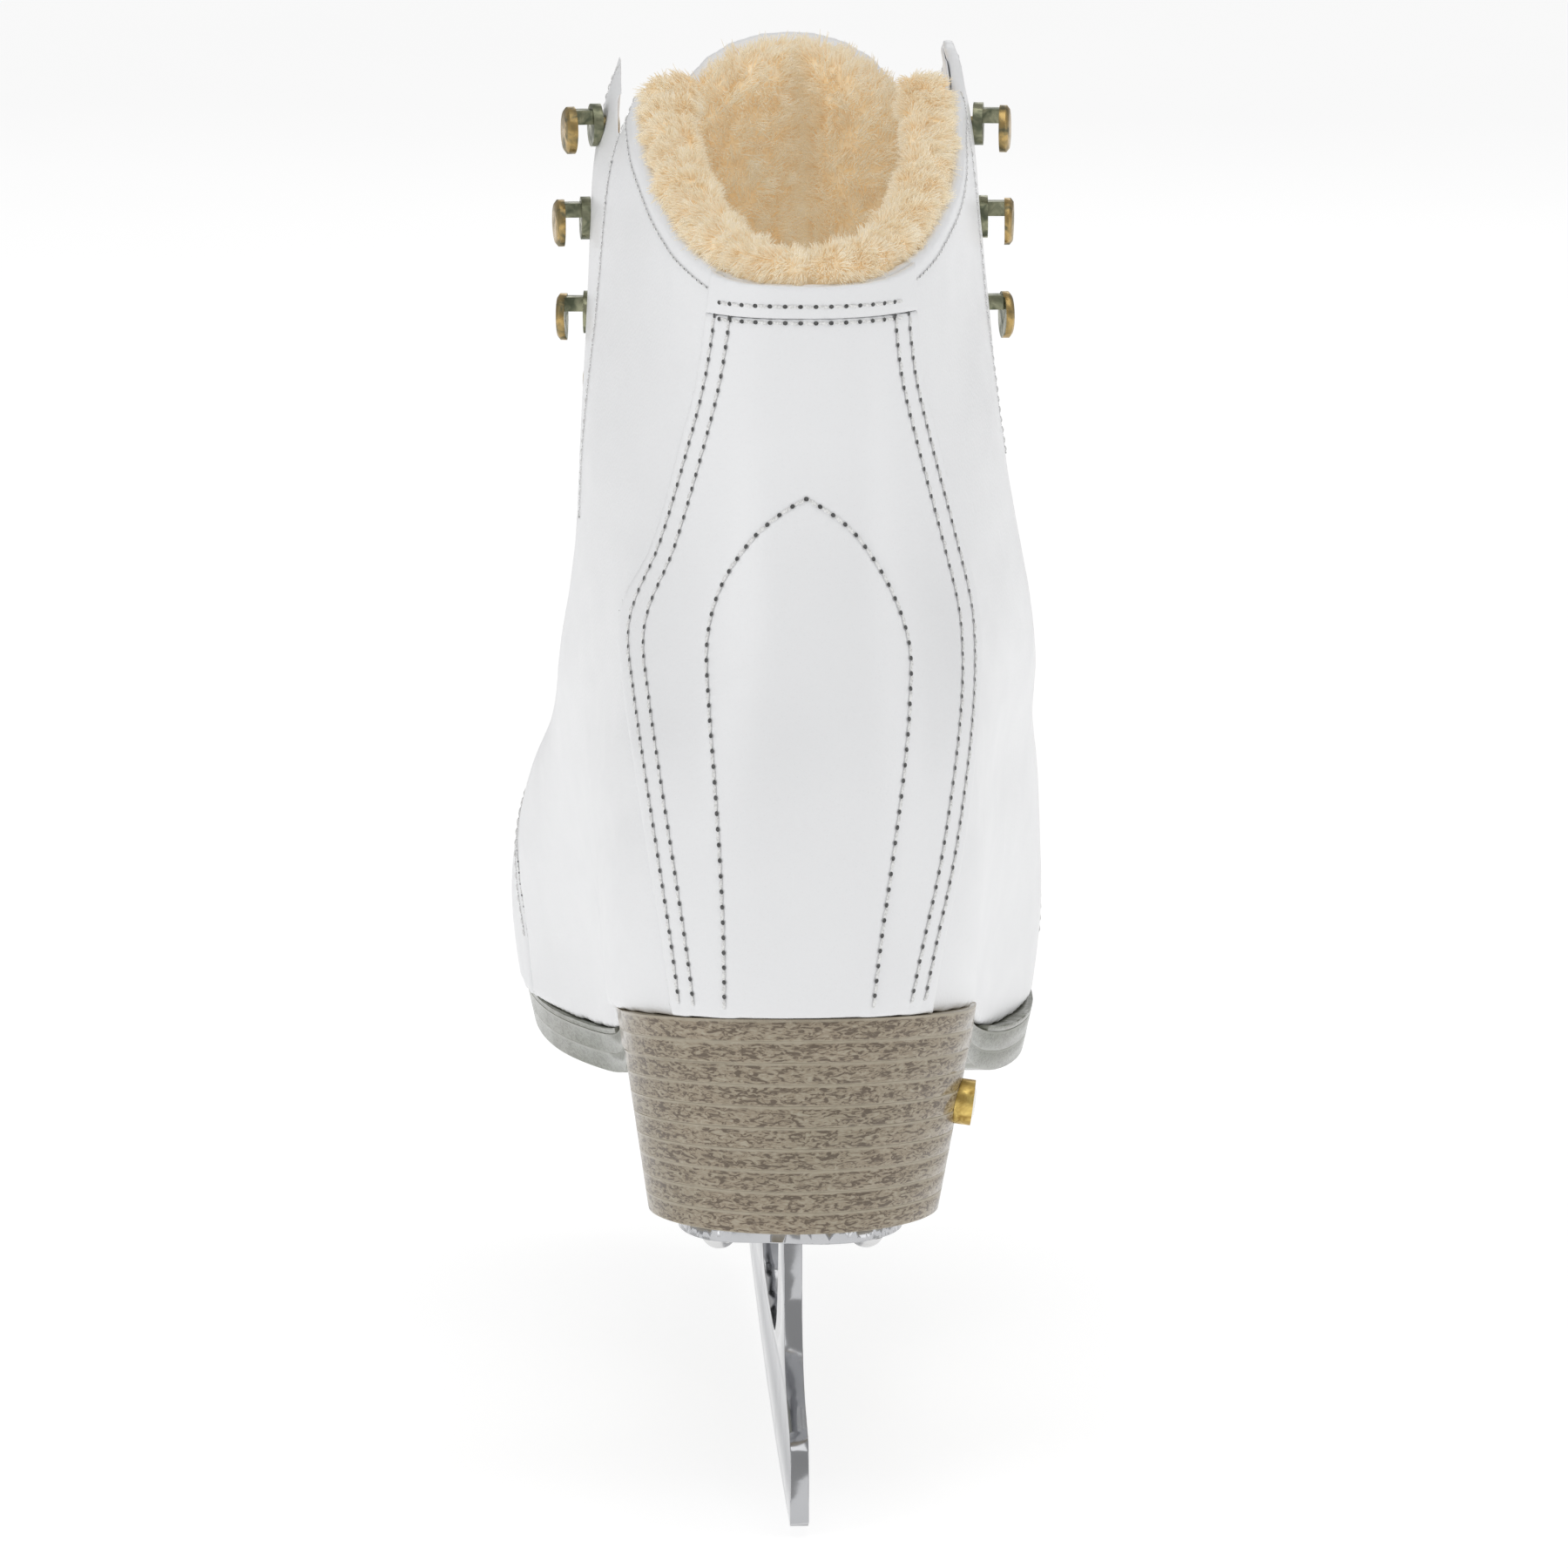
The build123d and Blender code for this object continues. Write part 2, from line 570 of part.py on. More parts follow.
def build_tongue():
    low = TONGUE_SPLIT_Z + TONGUE_GAP / 2
    write("tongue_leather", skin(TONGUE_LEATHER, tongue_prism(low, TONGUE_HALF)))
    write("tongue_foam", skin(TONGUE_FOAM, tongue_prism(low, TONGUE_HALF - 0.6, TONGUE_TOP_Z - 0.8)))
    write("tongue_plush", skin(TONGUE_PLUSH, tongue_prism(low, TONGUE_HALF - 1.0, TONGUE_TOP_Z - 1.0)))
    top = TONGUE_SPLIT_Z - TONGUE_GAP / 2
    root = back_prism([(TONGUE_X - 26, 100), (TONGUE_X + 26, 100), (TONGUE_X + 22, top), (TONGUE_X - 22, top)],
                      106, 196)
    write("tongue_base", skin(TONGUE_BASE, root).solids().sort_by(SortBy.VOLUME)[-1])


def stud_frame():
    """On the lateral wall of the heel, facing straight out of it."""
    y, z = STUD_AT
    return Plane(origin=(STUD_X, y, z), x_dir=(0, 0, 1), z_dir=(1, -0.06, -0.13))


def build_stud(stack):
    rim = Pos(0, 0, 0.4) * Cylinder(STUD_RADIUS, 3.6) - Pos(0, 0, 1.6) * Cylinder(STUD_RADIUS - 0.9, 2.0)
    face = Pos(0, 0, -3.2) * Sphere(6.2) & Pos(0, 0, 1.6) * Cylinder(STUD_RADIUS - 0.95, 1.98)
    write("heel_stud_rim", stud_frame() * rim - stack)
    write("heel_stud_face", stud_frame() * face - stack)


def build_bottom():
    stack = heel_block()
    sole = sole_body()
    midsole = sole & between(SOLE_LINES[0], SOLE_LINES[1])
    outsole = sole & between(SOLE_LINES[1], SOLE_LINES[2])
    write("midsole", drilled(midsole, HEEL_SCREWS + SOLE_SCREWS))
    write("outsole", drilled(outsole, SOLE_SCREWS))
    ahead = [(y, z) for y, z in FEATHER if y > WELT_START_Y]
    welt = (sole & between(ahead, raised(ahead, -WELT))) - form(STIFFENER[0])
    write("welt", welt)
    shares = [1 - k / (LIFT_COUNT + SOLE_LAYERS) for k in range(SOLE_LAYERS, LIFT_COUNT + SOLE_LAYERS + 1)]
    for number, (top, bottom) in enumerate(zip(shares, shares[1:]), 1):
        lift = stack & between(heel_line(top), heel_line(bottom))
        write(f"heel_lift_{number}", drilled(lift - outsole, HEEL_SCREWS))
    board = form(BOARD_DEPTH) & between(raised(FEATHER, 2.5), raised(FEATHER, 0.1))
    write("insole_board", board)
    footbed = form(FOOTBED_DEPTH) & between(raised(FEATHER, 6.4), raised(FEATHER, 2.6))
    write("footbed", footbed)
    build_stud(stack)
    write("heel_plate", heel_plate())
    write("sole_plate", sole_plate())
    write("runner", runner())
    write("heel_plate_screws", *heel_screws())
    write("sole_plate_screws", *sole_screws())


if __name__ == "__main__":
    os.makedirs("parts", exist_ok=True)
    build_bottom()
    build_upper()
    build_tongue()
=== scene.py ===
import math

import bmesh
import bpy
import numpy as np
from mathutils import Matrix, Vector
from mathutils.bvhtree import BVHTree


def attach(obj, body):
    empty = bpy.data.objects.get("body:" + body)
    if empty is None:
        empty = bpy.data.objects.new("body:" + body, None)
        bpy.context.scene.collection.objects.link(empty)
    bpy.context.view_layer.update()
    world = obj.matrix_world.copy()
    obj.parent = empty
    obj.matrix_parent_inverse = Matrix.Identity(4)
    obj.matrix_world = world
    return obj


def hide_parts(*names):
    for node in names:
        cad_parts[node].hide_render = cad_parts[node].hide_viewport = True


# Looks of a right-foot figure skate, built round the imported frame. Metres in Blender; the shape tables
# below are in millimetres in the boot's own modelling axes, and to_row() brings them to the row frame.

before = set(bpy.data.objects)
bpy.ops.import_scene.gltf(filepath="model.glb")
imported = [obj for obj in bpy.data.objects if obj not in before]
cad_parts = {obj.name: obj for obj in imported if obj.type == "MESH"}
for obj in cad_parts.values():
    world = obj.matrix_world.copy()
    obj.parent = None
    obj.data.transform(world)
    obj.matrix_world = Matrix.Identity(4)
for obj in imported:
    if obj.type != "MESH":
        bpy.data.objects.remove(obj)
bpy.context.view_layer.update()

MM = 0.001
CENTRE = np.array((2.2, 125.7, 0.0))
rng = np.random.default_rng(7)

# Boot outline: rings at rising heights. Each ring has its height, its back and front y, the x of those two
# points, and half-widths at fixed fractions of its length, medial side and lateral side.
FRACTIONS = (0.03, 0.10, 0.22, 0.40, 0.60, 0.76, 0.92)
RINGS = (
    (58, 4.0, 253.0, 0.0, -4.0, (18.5, 28.0, 30.5, 30.5, 43.0, 45.5, 31.0),
     (19.0, 29.5, 32.5, 39.0, 50.0, 46.0, 24.0)),
    (78, 3.0, 258.0, 0.0, -4.0, (20.0, 29.5, 32.0, 32.0, 46.5, 48.0, 33.0),
     (20.5, 31.0, 34.0, 42.0, 52.7, 49.0, 27.0)),
    (90, 2.0, 259.0, 0.0, -4.0, (20.0, 30.5, 33.0, 33.5, 47.5, 48.0, 33.0),
     (21.0, 32.0, 35.0, 43.5, 53.5, 49.0, 28.0)),
    (102, -0.5, 254.5, 0.0, -3.5, (20.0, 31.0, 34.0, 35.5, 47.5, 45.0, 27.0),
     (21.0, 32.5, 36.0, 44.3, 53.0, 46.5, 23.0)),
    (114, -2.0, 244.5, 0.2, -2.5, (19.5, 31.0, 34.5, 37.0, 46.0, 40.5, 21.5),
     (20.5, 32.5, 37.0, 44.6, 52.0, 43.5, 19.0)),
    (124, -2.0, 225.0, 0.4, -1.0, (18.5, 29.5, 34.5, 37.5, 43.5, 36.0, 17.5),
     (19.5, 31.5, 37.0, 43.0, 50.5, 40.0, 17.0)),
    (134, -1.2, 198.0, 0.7, 0.3, (17.0, 27.5, 33.5, 37.0, 41.5, 33.5, 15.5),
     (18.5, 30.0, 36.5, 42.5, 49.0, 38.0, 17.0)),
    (145, 1.0, 172.0, 1.0, 1.0, (15.0, 25.0, 31.5, 36.0, 41.0, 34.0, 15.5),
     (17.5, 28.5, 35.5, 42.5, 48.5, 39.0, 18.5)),
    (157, 4.8, 153.0, 1.5, 1.0, (12.5, 22.5, 30.0, 35.5, 39.5, 34.5, 18.0),
     (16.0, 26.5, 34.0, 42.0, 47.0, 40.0, 21.0)),
    (170, 8.0, 137.5, 2.0, 1.0, (10.5, 19.5, 27.5, 34.5, 38.2, 34.5, 21.0),
     (14.5, 24.0, 32.0, 40.0, 44.8, 40.0, 24.0)),
    (186, 10.6, 124.0, 2.3, 1.0, (9.5, 17.0, 24.5, 32.0, 37.0, 35.5, 24.5),
     (14.0, 22.0, 29.5, 37.5, 42.0, 40.0, 27.0)),
    (205, 11.2, 117.5, 2.5, 1.0, (9.0, 15.5, 22.0, 29.0, 34.5, 36.0, 29.0),
     (13.5, 21.0, 27.5, 34.0, 38.8, 39.5, 31.5)),
    (225, 9.0, 113.5, 2.5, 1.0, (8.5, 14.5, 20.0, 26.0, 31.5, 35.0, 32.5),
     (13.5, 20.0, 26.0, 31.5, 36.0, 38.0, 34.5)),
    (246, 6.0, 110.5, 2.5, 1.0, (8.0, 13.5, 18.5, 23.5, 28.0, 31.5, 32.5),
     (13.0, 19.0, 24.5, 29.5, 33.5, 35.6, 35.0)),
    (276, 1.5, 107.0, 2.5, 1.0, (8.0, 13.5, 18.0, 22.0, 26.0, 28.5, 28.5),
     (13.0, 19.0, 24.0, 28.0, 31.5, 33.0, 32.5)),
)

# Side view curves, (y, z), and how much lower the rim is on the lateral side, (y, drop).
FEATHER_LINE = ((-12, 94.9), (0, 93.8), (30, 90.2), (55, 86.6), (72, 82.0), (90, 76.0), (112, 71.6),
                (145, 69.8), (185, 70.2), (220, 73.2), (250, 78.2), (275, 83.0))
RIM_LINE = ((-12, 225.0), (8, 225.5), (20, 227.8), (35, 232.0), (50, 238.2), (65, 246.2), (80, 255.2),
            (92, 262.3), (98, 264.2), (103, 263.2), (107, 259.5), (112, 250), (125, 225))
LATERAL_DROP = ((-20, 0), (70, 0), (95, 3.0), (130, 3.0))

# Half-width of the gap between the two facings, (z, half-width), about THROAT_X.
THROAT_X = 1.0
THROAT = ((137.0, 0.5), (139.0, 7.5), (144, 13), (153, 17.5), (167, 21.5), (186, 26), (212, 29.5), (240, 31),
          (256, 30), (285, 28.5))

HEEL_BASE_Z = 53.0
PLY_COUNT = 10
SOLE_PLY = 3.7
TONGUE_X = 2.5
HOOK_HEIGHTS = (246.0, 228.5, 210.5)
PITCH = 2.75                    # stitch spacing
BEHIND_Y = -300.0               # a plane behind the heel, from which rows are projected onto the leather
STRANDS = 11000                 # in each piece of pile
VAMP_ROW = ((189, 141), (183, 131), (176, 121), (167, 108), (160, 96), (154, 80))


# ---------------------------------------------------------------- boot surface

def to_row(point):
    return (np.asarray(point, float) - CENTRE) * MM


def ring_points(ring):
    z, back, front, back_x, front_x, medial, lateral = ring
    length = front - back
    points = [(back_x, back, z)]
    points += [(w, back + f * length, z) for f, w in zip(FRACTIONS, lateral)]
    points += [(front_x, front, z)]
    points += [(-w, back + f * length, z) for f, w in reversed(list(zip(FRACTIONS, medial)))]
    return points


GRID = np.array([ring_points(ring) for ring in RINGS])
AROUND = GRID.shape[1]


def catmull(a, b, c, d, t):
    square = (2 * a - 5 * b + 4 * c - d) * t * t
    cube = (3 * b - a - 3 * c + d) * t ** 3
    return 0.5 * (2 * b + (c - a) * t + square + cube)


def surface_point(row, column):
    i = min(int(row), len(GRID) - 2)
    j = int(math.floor(column))
    lines = []
    for r in (max(i - 1, 0), i, i + 1, min(i + 2, len(GRID) - 1)):
        ring = GRID[r]
        lines.append(catmull(ring[(j - 1) % AROUND], ring[j % AROUND], ring[(j + 1) % AROUND],
                             ring[(j + 2) % AROUND], column - j))
    return catmull(*lines, row - i)


def ring_row(z):
    heights = [ring[0] for ring in RINGS]
    return float(np.interp(z, heights, range(len(heights))))


def curve_value(points, at):
    return float(np.interp(at, [p[0] for p in points], [p[1] for p in points]))


# ---------------------------------------------------------------- mesh helpers

def mesh_object(name, mesh):
    piece = bpy.data.objects.new(name, mesh)
    bpy.context.scene.collection.objects.link(piece)
    return piece


def from_arrays(name, points, faces, smooth=True):
    mesh = bpy.data.meshes.new(name)
    mesh.from_pydata([tuple(p) for p in points], [], [tuple(f) for f in faces])
    if smooth:
        mesh.polygons.foreach_set("use_smooth", [True] * len(mesh.polygons))
    mesh.update()
    return mesh_object(name, mesh)


def cad_copy(name, *nodes):
    """One new mesh holding copies of some CAD nodes, with split vertices joined."""
    bm = bmesh.new()
    for node in nodes:
        bm.from_mesh(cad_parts[node].data)
    bmesh.ops.remove_doubles(bm, verts=bm.verts, dist=1e-6)
    mesh = bpy.data.meshes.new(name)
    bm.to_mesh(mesh)
    bm.free()
    return mesh_object(name, mesh)


def apply_modifiers(piece):
    graph = bpy.context.evaluated_depsgraph_get()
    mesh = bpy.data.meshes.new_from_object(piece.evaluated_get(graph))
    old = piece.data
    piece.modifiers.clear()
    piece.data = mesh
    bpy.data.meshes.remove(old)
    mesh.polygons.foreach_set("use_smooth", [True] * len(mesh.polygons))


def remeshed(name, nodes, voxel, rounds, factor=0.5):
    """CAD shape as an even, softly rounded skin."""
    piece = cad_copy(name, *nodes)
    remesh = piece.modifiers.new("even", "REMESH")
    remesh.mode = "VOXEL"
    remesh.voxel_size = voxel * MM
    soften = piece.modifiers.new("soften", "SMOOTH")
    soften.factor = factor
    soften.iterations = rounds
    apply_modifiers(piece)
    return piece


def bevelled(name, nodes, width, segments=2, angle=32):
    """CAD shape with its sharp edges broken."""
    piece = cad_copy(name, *nodes)
    bm = bmesh.new()
    bm.from_mesh(piece.data)
    bmesh.ops.dissolve_limit(bm, angle_limit=math.radians(0.8), verts=bm.verts, edges=bm.edges)
    bm.to_mesh(piece.data)
    bm.free()
    bevel = piece.modifiers.new("edge", "BEVEL")
    bevel.width = width * MM
    bevel.segments = segments
    bevel.limit_method = "ANGLE"
    bevel.angle_limit = math.radians(angle)
    bevel.harden_normals = True
    apply_modifiers(piece)
    return piece


def coordinates(piece):
    count = len(piece.data.vertices)
    points = np.empty(count * 3)
    normals = np.empty(count * 3)
    piece.data.vertices.foreach_get("co", points)
    piece.data.vertices.foreach_get("normal", normals)
    return points.reshape(-1, 3), normals.reshape(-1, 3)


def set_coordinates(piece, points):
    piece.data.vertices.foreach_set("co", np.asarray(points).ravel())
    piece.data.update()


def bvh(*pieces):
    verts, faces = [], []
    for piece in pieces:
        base = len(verts)
        verts += [v.co.copy() for v in piece.data.vertices]
        faces += [[base + i for i in p.vertices] for p in piece.data.polygons]
    return BVHTree.FromPolygons(verts, faces)


def smooth_noise(points, size, seed):
    """Sum of a few sine waves, about -1 to 1, with features of the given size in metres."""
    local = np.random.default_rng(seed)
    total = np.zeros(len(points))
    for _ in range(10):
        direction = local.normal(size=3)
        direction /= np.linalg.norm(direction)
        frequency = (2 * math.pi / size) * local.uniform(0.6, 1.4)
        total += np.sin(points @ direction * frequency + local.uniform(0, 6.3))
    return total / 4.5


# ---------------------------------------------------------------- materials

def new_material(name):
    material = bpy.data.materials.new(name)
    material.use_nodes = True
    nodes = material.node_tree.nodes
    return material, nodes, material.node_tree.links, nodes["Principled BSDF"]


def noise(nodes, links, place_socket, scale, detail=4.0, distortion=0.0, rough=0.5):
    node = nodes.new("ShaderNodeTexNoise")
    node.inputs["Scale"].default_value = scale
    node.inputs["Detail"].default_value = detail
    node.inputs["Distortion"].default_value = distortion
    node.inputs["Roughness"].default_value = rough
    links.new(place_socket, node.inputs["Vector"])
    return node


def ramp(nodes, links, source, stops):
    node = nodes.new("ShaderNodeValToRGB")
    elements = node.color_ramp.elements
    while len(elements) > 1:
        elements.remove(elements[-1])
    elements[0].position, elements[0].color = stops[0][0], (*stops[0][1], 1)
    for position, colour in stops[1:]:
        element = elements.new(position)
        element.color = (*colour, 1)
    links.new(source, node.inputs["Fac"])
    return node


def grey(value):
    return (value, value, value)


def mixed(nodes, links, factor, first, second, blend="MIX"):
    node = nodes.new("ShaderNodeMix")
    node.data_type = "RGBA"
    node.blend_type = blend
    for socket, value in ((node.inputs["Factor"], factor), (node.inputs[6], first), (node.inputs[7], second)):
        if hasattr(value, "is_output"):
            links.new(value, socket)
        elif isinstance(value, (int, float)):
            socket.default_value = value
        else:
            socket.default_value = (*value, 1)
    return node.outputs[2]


def maths(nodes, links, operation, first, second=0.0, third=0.0):
    node = nodes.new("ShaderNodeMath")
    node.operation = operation
    for socket, value in zip(node.inputs, (first, second, third)):
        if hasattr(value, "is_output"):
            links.new(value, socket)
        else:
            socket.default_value = value
    return node.outputs[0]


def bump(nodes, links, heights, principled):
    """Chain of bumps: (height socket, distance in mm, strength)."""
    previous = None
    for height, distance, strength in heights:
        node = nodes.new("ShaderNodeBump")
        node.inputs["Distance"].default_value = distance * MM
        node.inputs["Strength"].default_value = strength
        links.new(height, node.inputs["Height"])
        if previous:
            links.new(previous, node.inputs["Normal"])
        previous = node.outputs["Normal"]
    links.new(previous, principled.inputs["Normal"])


def place_of(nodes, links, scale=(1, 1, 1)):
    where = nodes.new("ShaderNodeTexCoord")
    mapping = nodes.new("ShaderNodeMapping")
    mapping.inputs["Scale"].default_value = scale
    links.new(where.outputs["Object"], mapping.inputs["Vector"])
    return mapping.outputs["Vector"]


def white_leather_material(name="white_leather", base=(0.86, 0.865, 0.875)):
    material, nodes, links, shader = new_material(name)
    place = place_of(nodes, links)
    cloud = noise(nodes, links, place, 22, 3)
    tone = ramp(nodes, links, cloud.outputs["Fac"], [(0.3, tuple(c * 0.955 for c in base)), (0.7, base)])
    pores = nodes.new("ShaderNodeTexVoronoi")
    pores.inputs["Scale"].default_value = 1500
    links.new(place, pores.inputs["Vector"])
    dots = ramp(nodes, links, pores.outputs["Distance"], [(0.0, grey(0.93)), (0.28, grey(1.0))])
    colour = mixed(nodes, links, 0.55, tone.outputs["Color"], dots.outputs["Color"], "MULTIPLY")
    links.new(colour, shader.inputs["Base Color"])
    grain = noise(nodes, links, place, 900, 6)
    creases = noise(nodes, links, place, 130, 5, 0.6)
    gloss = ramp(nodes, links, creases.outputs["Fac"], [(0.3, grey(0.30)), (0.7, grey(0.44))])
    links.new(gloss.outputs["Color"], shader.inputs["Roughness"])
    bump(nodes, links, [(creases.outputs["Fac"], 0.25, 0.35), (pores.outputs["Distance"], 0.06, 0.5),
                        (grain.outputs["Fac"], 0.05, 0.5)], shader)
    shader.inputs["Coat Weight"].default_value = 0.22
    shader.inputs["Coat Roughness"].default_value = 0.28
    shader.inputs["Specular IOR Level"].default_value = 0.42
    return material


def stacked_leather_material(name, plain, mark, line, cool):
    """Lacquered leather plies. The vertex value 'ply' counts plies, so each joint shows as a pale line."""
    material, nodes, links, shader = new_material(name)
    place = place_of(nodes, links, (1.0, 1.0, 3.0))
    worms = noise(nodes, links, place, 470, 5, 1.4, 0.62)
    marks = ramp(nodes, links, worms.outputs["Fac"], [(0.43, mark), (0.50, plain), (0.68, line)])
    ply = nodes.new("ShaderNodeAttribute")
    ply.attribute_name = "ply"
    wobble = noise(nodes, links, place_of(nodes, links), 140, 2)
    shifted = maths(nodes, links, "MULTIPLY_ADD", wobble.outputs["Fac"], 0.09, ply.outputs["Fac"])
    ridge = maths(nodes, links, "PINGPONG", shifted, 0.5)
    joint = ramp(nodes, links, ridge, [(0.0, grey(0.9)), (0.06, grey(0.75)), (0.11, grey(0.0))])
    cloud = noise(nodes, links, place_of(nodes, links), 45, 3)
    tint = ramp(nodes, links, cloud.outputs["Fac"], [(0.35, (1, 1, 1)), (0.65, cool)])
    tinted = mixed(nodes, links, 0.6, marks.outputs["Color"], tint.outputs["Color"], "MULTIPLY")
    colour = mixed(nodes, links, joint.outputs["Color"], tinted, line)
    links.new(colour, shader.inputs["Base Color"])
    shader.inputs["Roughness"].default_value = 0.42
    shader.inputs["Coat Weight"].default_value = 0.55
    shader.inputs["Coat Roughness"].default_value = 0.09
    bump(nodes, links, [(joint.outputs["Color"], 0.25, -0.5), (worms.outputs["Fac"], 0.12, 0.35),
                        (cloud.outputs["Fac"], 0.35, 0.25)], shader)
    return material


def steel_material(name, base, roughness, brushed):
    material, nodes, links, shader = new_material(name)
    lines = noise(nodes, links, place_of(nodes, links, (1.0, brushed, 1.0)), 900, 3)
    wear = noise(nodes, links, place_of(nodes, links), 60, 5)
    gloss = ramp(nodes, links, wear.outputs["Fac"], [(0.35, grey(roughness)), (0.7, grey(roughness * 2.1))])
    tone = ramp(nodes, links, wear.outputs["Fac"], [(0.3, base), (0.75, tuple(c * 0.9 for c in base))])
    links.new(tone.outputs["Color"], shader.inputs["Base Color"])
    links.new(gloss.outputs["Color"], shader.inputs["Roughness"])
    shader.inputs["Metallic"].default_value = 1.0
    bump(nodes, links, [(lines.outputs["Fac"], 0.02, 0.35), (wear.outputs["Fac"], 0.15, 0.12)], shader)
    return material


def brass_material(name, bright, dark, high=0.62):
    material, nodes, links, shader = new_material(name)
    patina = noise(nodes, links, place_of(nodes, links), 380, 5, 0.8)
    tone = ramp(nodes, links, patina.outputs["Fac"], [(0.36, dark), (high, bright)])
    gloss = ramp(nodes, links, patina.outputs["Fac"], [(0.35, grey(0.5)), (0.65, grey(0.24))])
    links.new(tone.outputs["Color"], shader.inputs["Base Color"])
    links.new(gloss.outputs["Color"], shader.inputs["Roughness"])
    shader.inputs["Metallic"].default_value = 0.92
    scratches = noise(nodes, links, place_of(nodes, links, (1, 1, 5)), 1200, 3)
    bump(nodes, links, [(patina.outputs["Fac"], 0.12, 0.4), (scratches.outputs["Fac"], 0.03, 0.4)], shader)
    return material


def plush_material(name, root, tip):
    """Pile fabric. The vertex value 'tone' runs from the root of a tuft (0) to its tip (1); the darker colour
    toward the root is painted shade of the pile's depth.
    """
    material, nodes, links, shader = new_material(name)
    tone = nodes.new("ShaderNodeAttribute")
    tone.attribute_name = "tone"
    between = tuple((a + b) / 2 for a, b in zip(root, tip))
    # Darker ochre at the roots, cream at the tips: the tips are the fibre's own colour, the darker roots are
    # painted shade of the pile's depth.
    shade = ramp(nodes, links, tone.outputs["Fac"], [(0.0, root), (0.45, between), (1.0, tip)])
    patches = noise(nodes, links, place_of(nodes, links), 260, 3)
    tint = ramp(nodes, links, patches.outputs["Fac"], [(0.3, (0.96, 0.92, 0.86)), (0.7, (1, 1, 1))])
    colour = mixed(nodes, links, 0.8, shade.outputs["Color"], tint.outputs["Color"], "MULTIPLY")
    links.new(colour, shader.inputs["Base Color"])
    # The fibre colour also drives a faint emission: painted light, a glow that stands in for light bounced
    # inside the pile.
    links.new(colour, shader.inputs["Emission Color"])
    shader.inputs["Emission Strength"].default_value = 0.14
    weave = noise(nodes, links, place_of(nodes, links), 1500, 3)
    bump(nodes, links, [(weave.outputs["Fac"], 0.3, 0.5)], shader)
    shader.inputs["Roughness"].default_value = 0.85
    shader.inputs["Sheen Weight"].default_value = 0.06
    shader.inputs["Sheen Roughness"].default_value = 0.5
    shader.inputs["Specular IOR Level"].default_value = 0.1
    return material


def thread_material(name, light, dark):
    material, nodes, links, shader = new_material(name)
    place = place_of(nodes, links)
    twist = noise(nodes, links, place, 2600, 2)
    tone = ramp(nodes, links, twist.outputs["Fac"], [(0.35, dark), (0.6, light)])
    links.new(tone.outputs["Color"], shader.inputs["Base Color"])
    shader.inputs["Roughness"].default_value = 0.6
    bump(nodes, links, [(twist.outputs["Fac"], 0.1, 0.6)], shader)
    return material


def suede_material(name, base):
    material, nodes, links, shader = new_material(name)
    place = place_of(nodes, links)
    nap = noise(nodes, links, place, 700, 5)
    patch = noise(nodes, links, place, 60, 3)
    tone = ramp(nodes, links, nap.outputs["Fac"], [(0.3, tuple(c * 0.8 for c in base)), (0.7, base)])
    tint = ramp(nodes, links, patch.outputs["Fac"], [(0.3, grey(0.88)), (0.7, grey(1.0))])
    links.new(mixed(nodes, links, 1.0, tone.outputs["Color"], tint.outputs["Color"], "MULTIPLY"),
              shader.inputs["Base Color"])
    shader.inputs["Roughness"].default_value = 0.88
    bump(nodes, links, [(nap.outputs["Fac"], 0.3, 0.6)], shader)
    return material


def pearl_material():
    material, nodes, links, shader = new_material("pearl")
    veil = noise(nodes, links, place_of(nodes, links), 500, 3, 1.5)
    tone = ramp(nodes, links, veil.outputs["Fac"], [(0.3, (0.80, 0.78, 0.72)), (0.7, (0.95, 0.94, 0.92))])
    links.new(tone.outputs["Color"], shader.inputs["Base Color"])
    shader.inputs["Roughness"].default_value = 0.18
    shader.inputs["Coat Weight"].default_value = 0.6
    bump(nodes, links, [(veil.outputs["Fac"], 0.05, 0.3)], shader)
    return material


# ---------------------------------------------------------------- finishing a piece

def finish_piece(piece, material, body, slot, *nodes, extra_materials=()):
    piece.data.materials.clear()
    piece.data.materials.append(material)
    for other in extra_materials:
        piece.data.materials.append(other)
    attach(piece, body)
    if nodes:
        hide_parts(*nodes)
    return piece


def float_attribute(piece, name, values):
    attribute = piece.data.attributes.new(name, "FLOAT", "POINT")
    attribute.data.foreach_set("value", np.asarray(values, dtype=np.float32))


# ---------------------------------------------------------------- stitching

def snapped(points, tree, reach=0.006):
    """Row-frame points and normals on the leather nearest to a list of model points."""
    placed, normals = [], []
    for point in points:
        hit, normal, _, _ = tree.find_nearest(Vector(to_row(point)), reach)
        if hit is None:
            continue
        placed.append(np.array(hit))
        normals.append(np.array(normal))
    return placed, normals


def projected(line, tree, direction, start):
    """Where rays through a list of model points first meet the leather."""
    placed, normals = [], []
    for point in line:
        origin = np.array(point, float)
        axis = int(np.argmax(np.abs(direction)))
        origin[axis] = start
        hit, normal, _, _ = tree.ray_cast(Vector(to_row(origin)), Vector(direction))
        if hit is None:
            continue
        placed.append(np.array(hit))
        normals.append(np.array(normal))
    return placed, normals


def evenly(points, normals, pitch):
    """Resample a line on the surface at an even spacing."""
    points = np.array(points)
    normals = np.array(normals)
    steps = np.linalg.norm(np.diff(points, axis=0), axis=1)
    along = np.concatenate(([0], np.cumsum(steps)))
    count = max(int(along[-1] / (pitch * MM)), 1)
    at = np.linspace(0, along[-1], count + 1)
    even = np.stack([np.interp(at, along, points[:, k]) for k in range(3)], 1)
    facing = np.stack([np.interp(at, along, normals[:, k]) for k in range(3)], 1)
    facing /= np.linalg.norm(facing, axis=1)[:, None]
    return even, facing


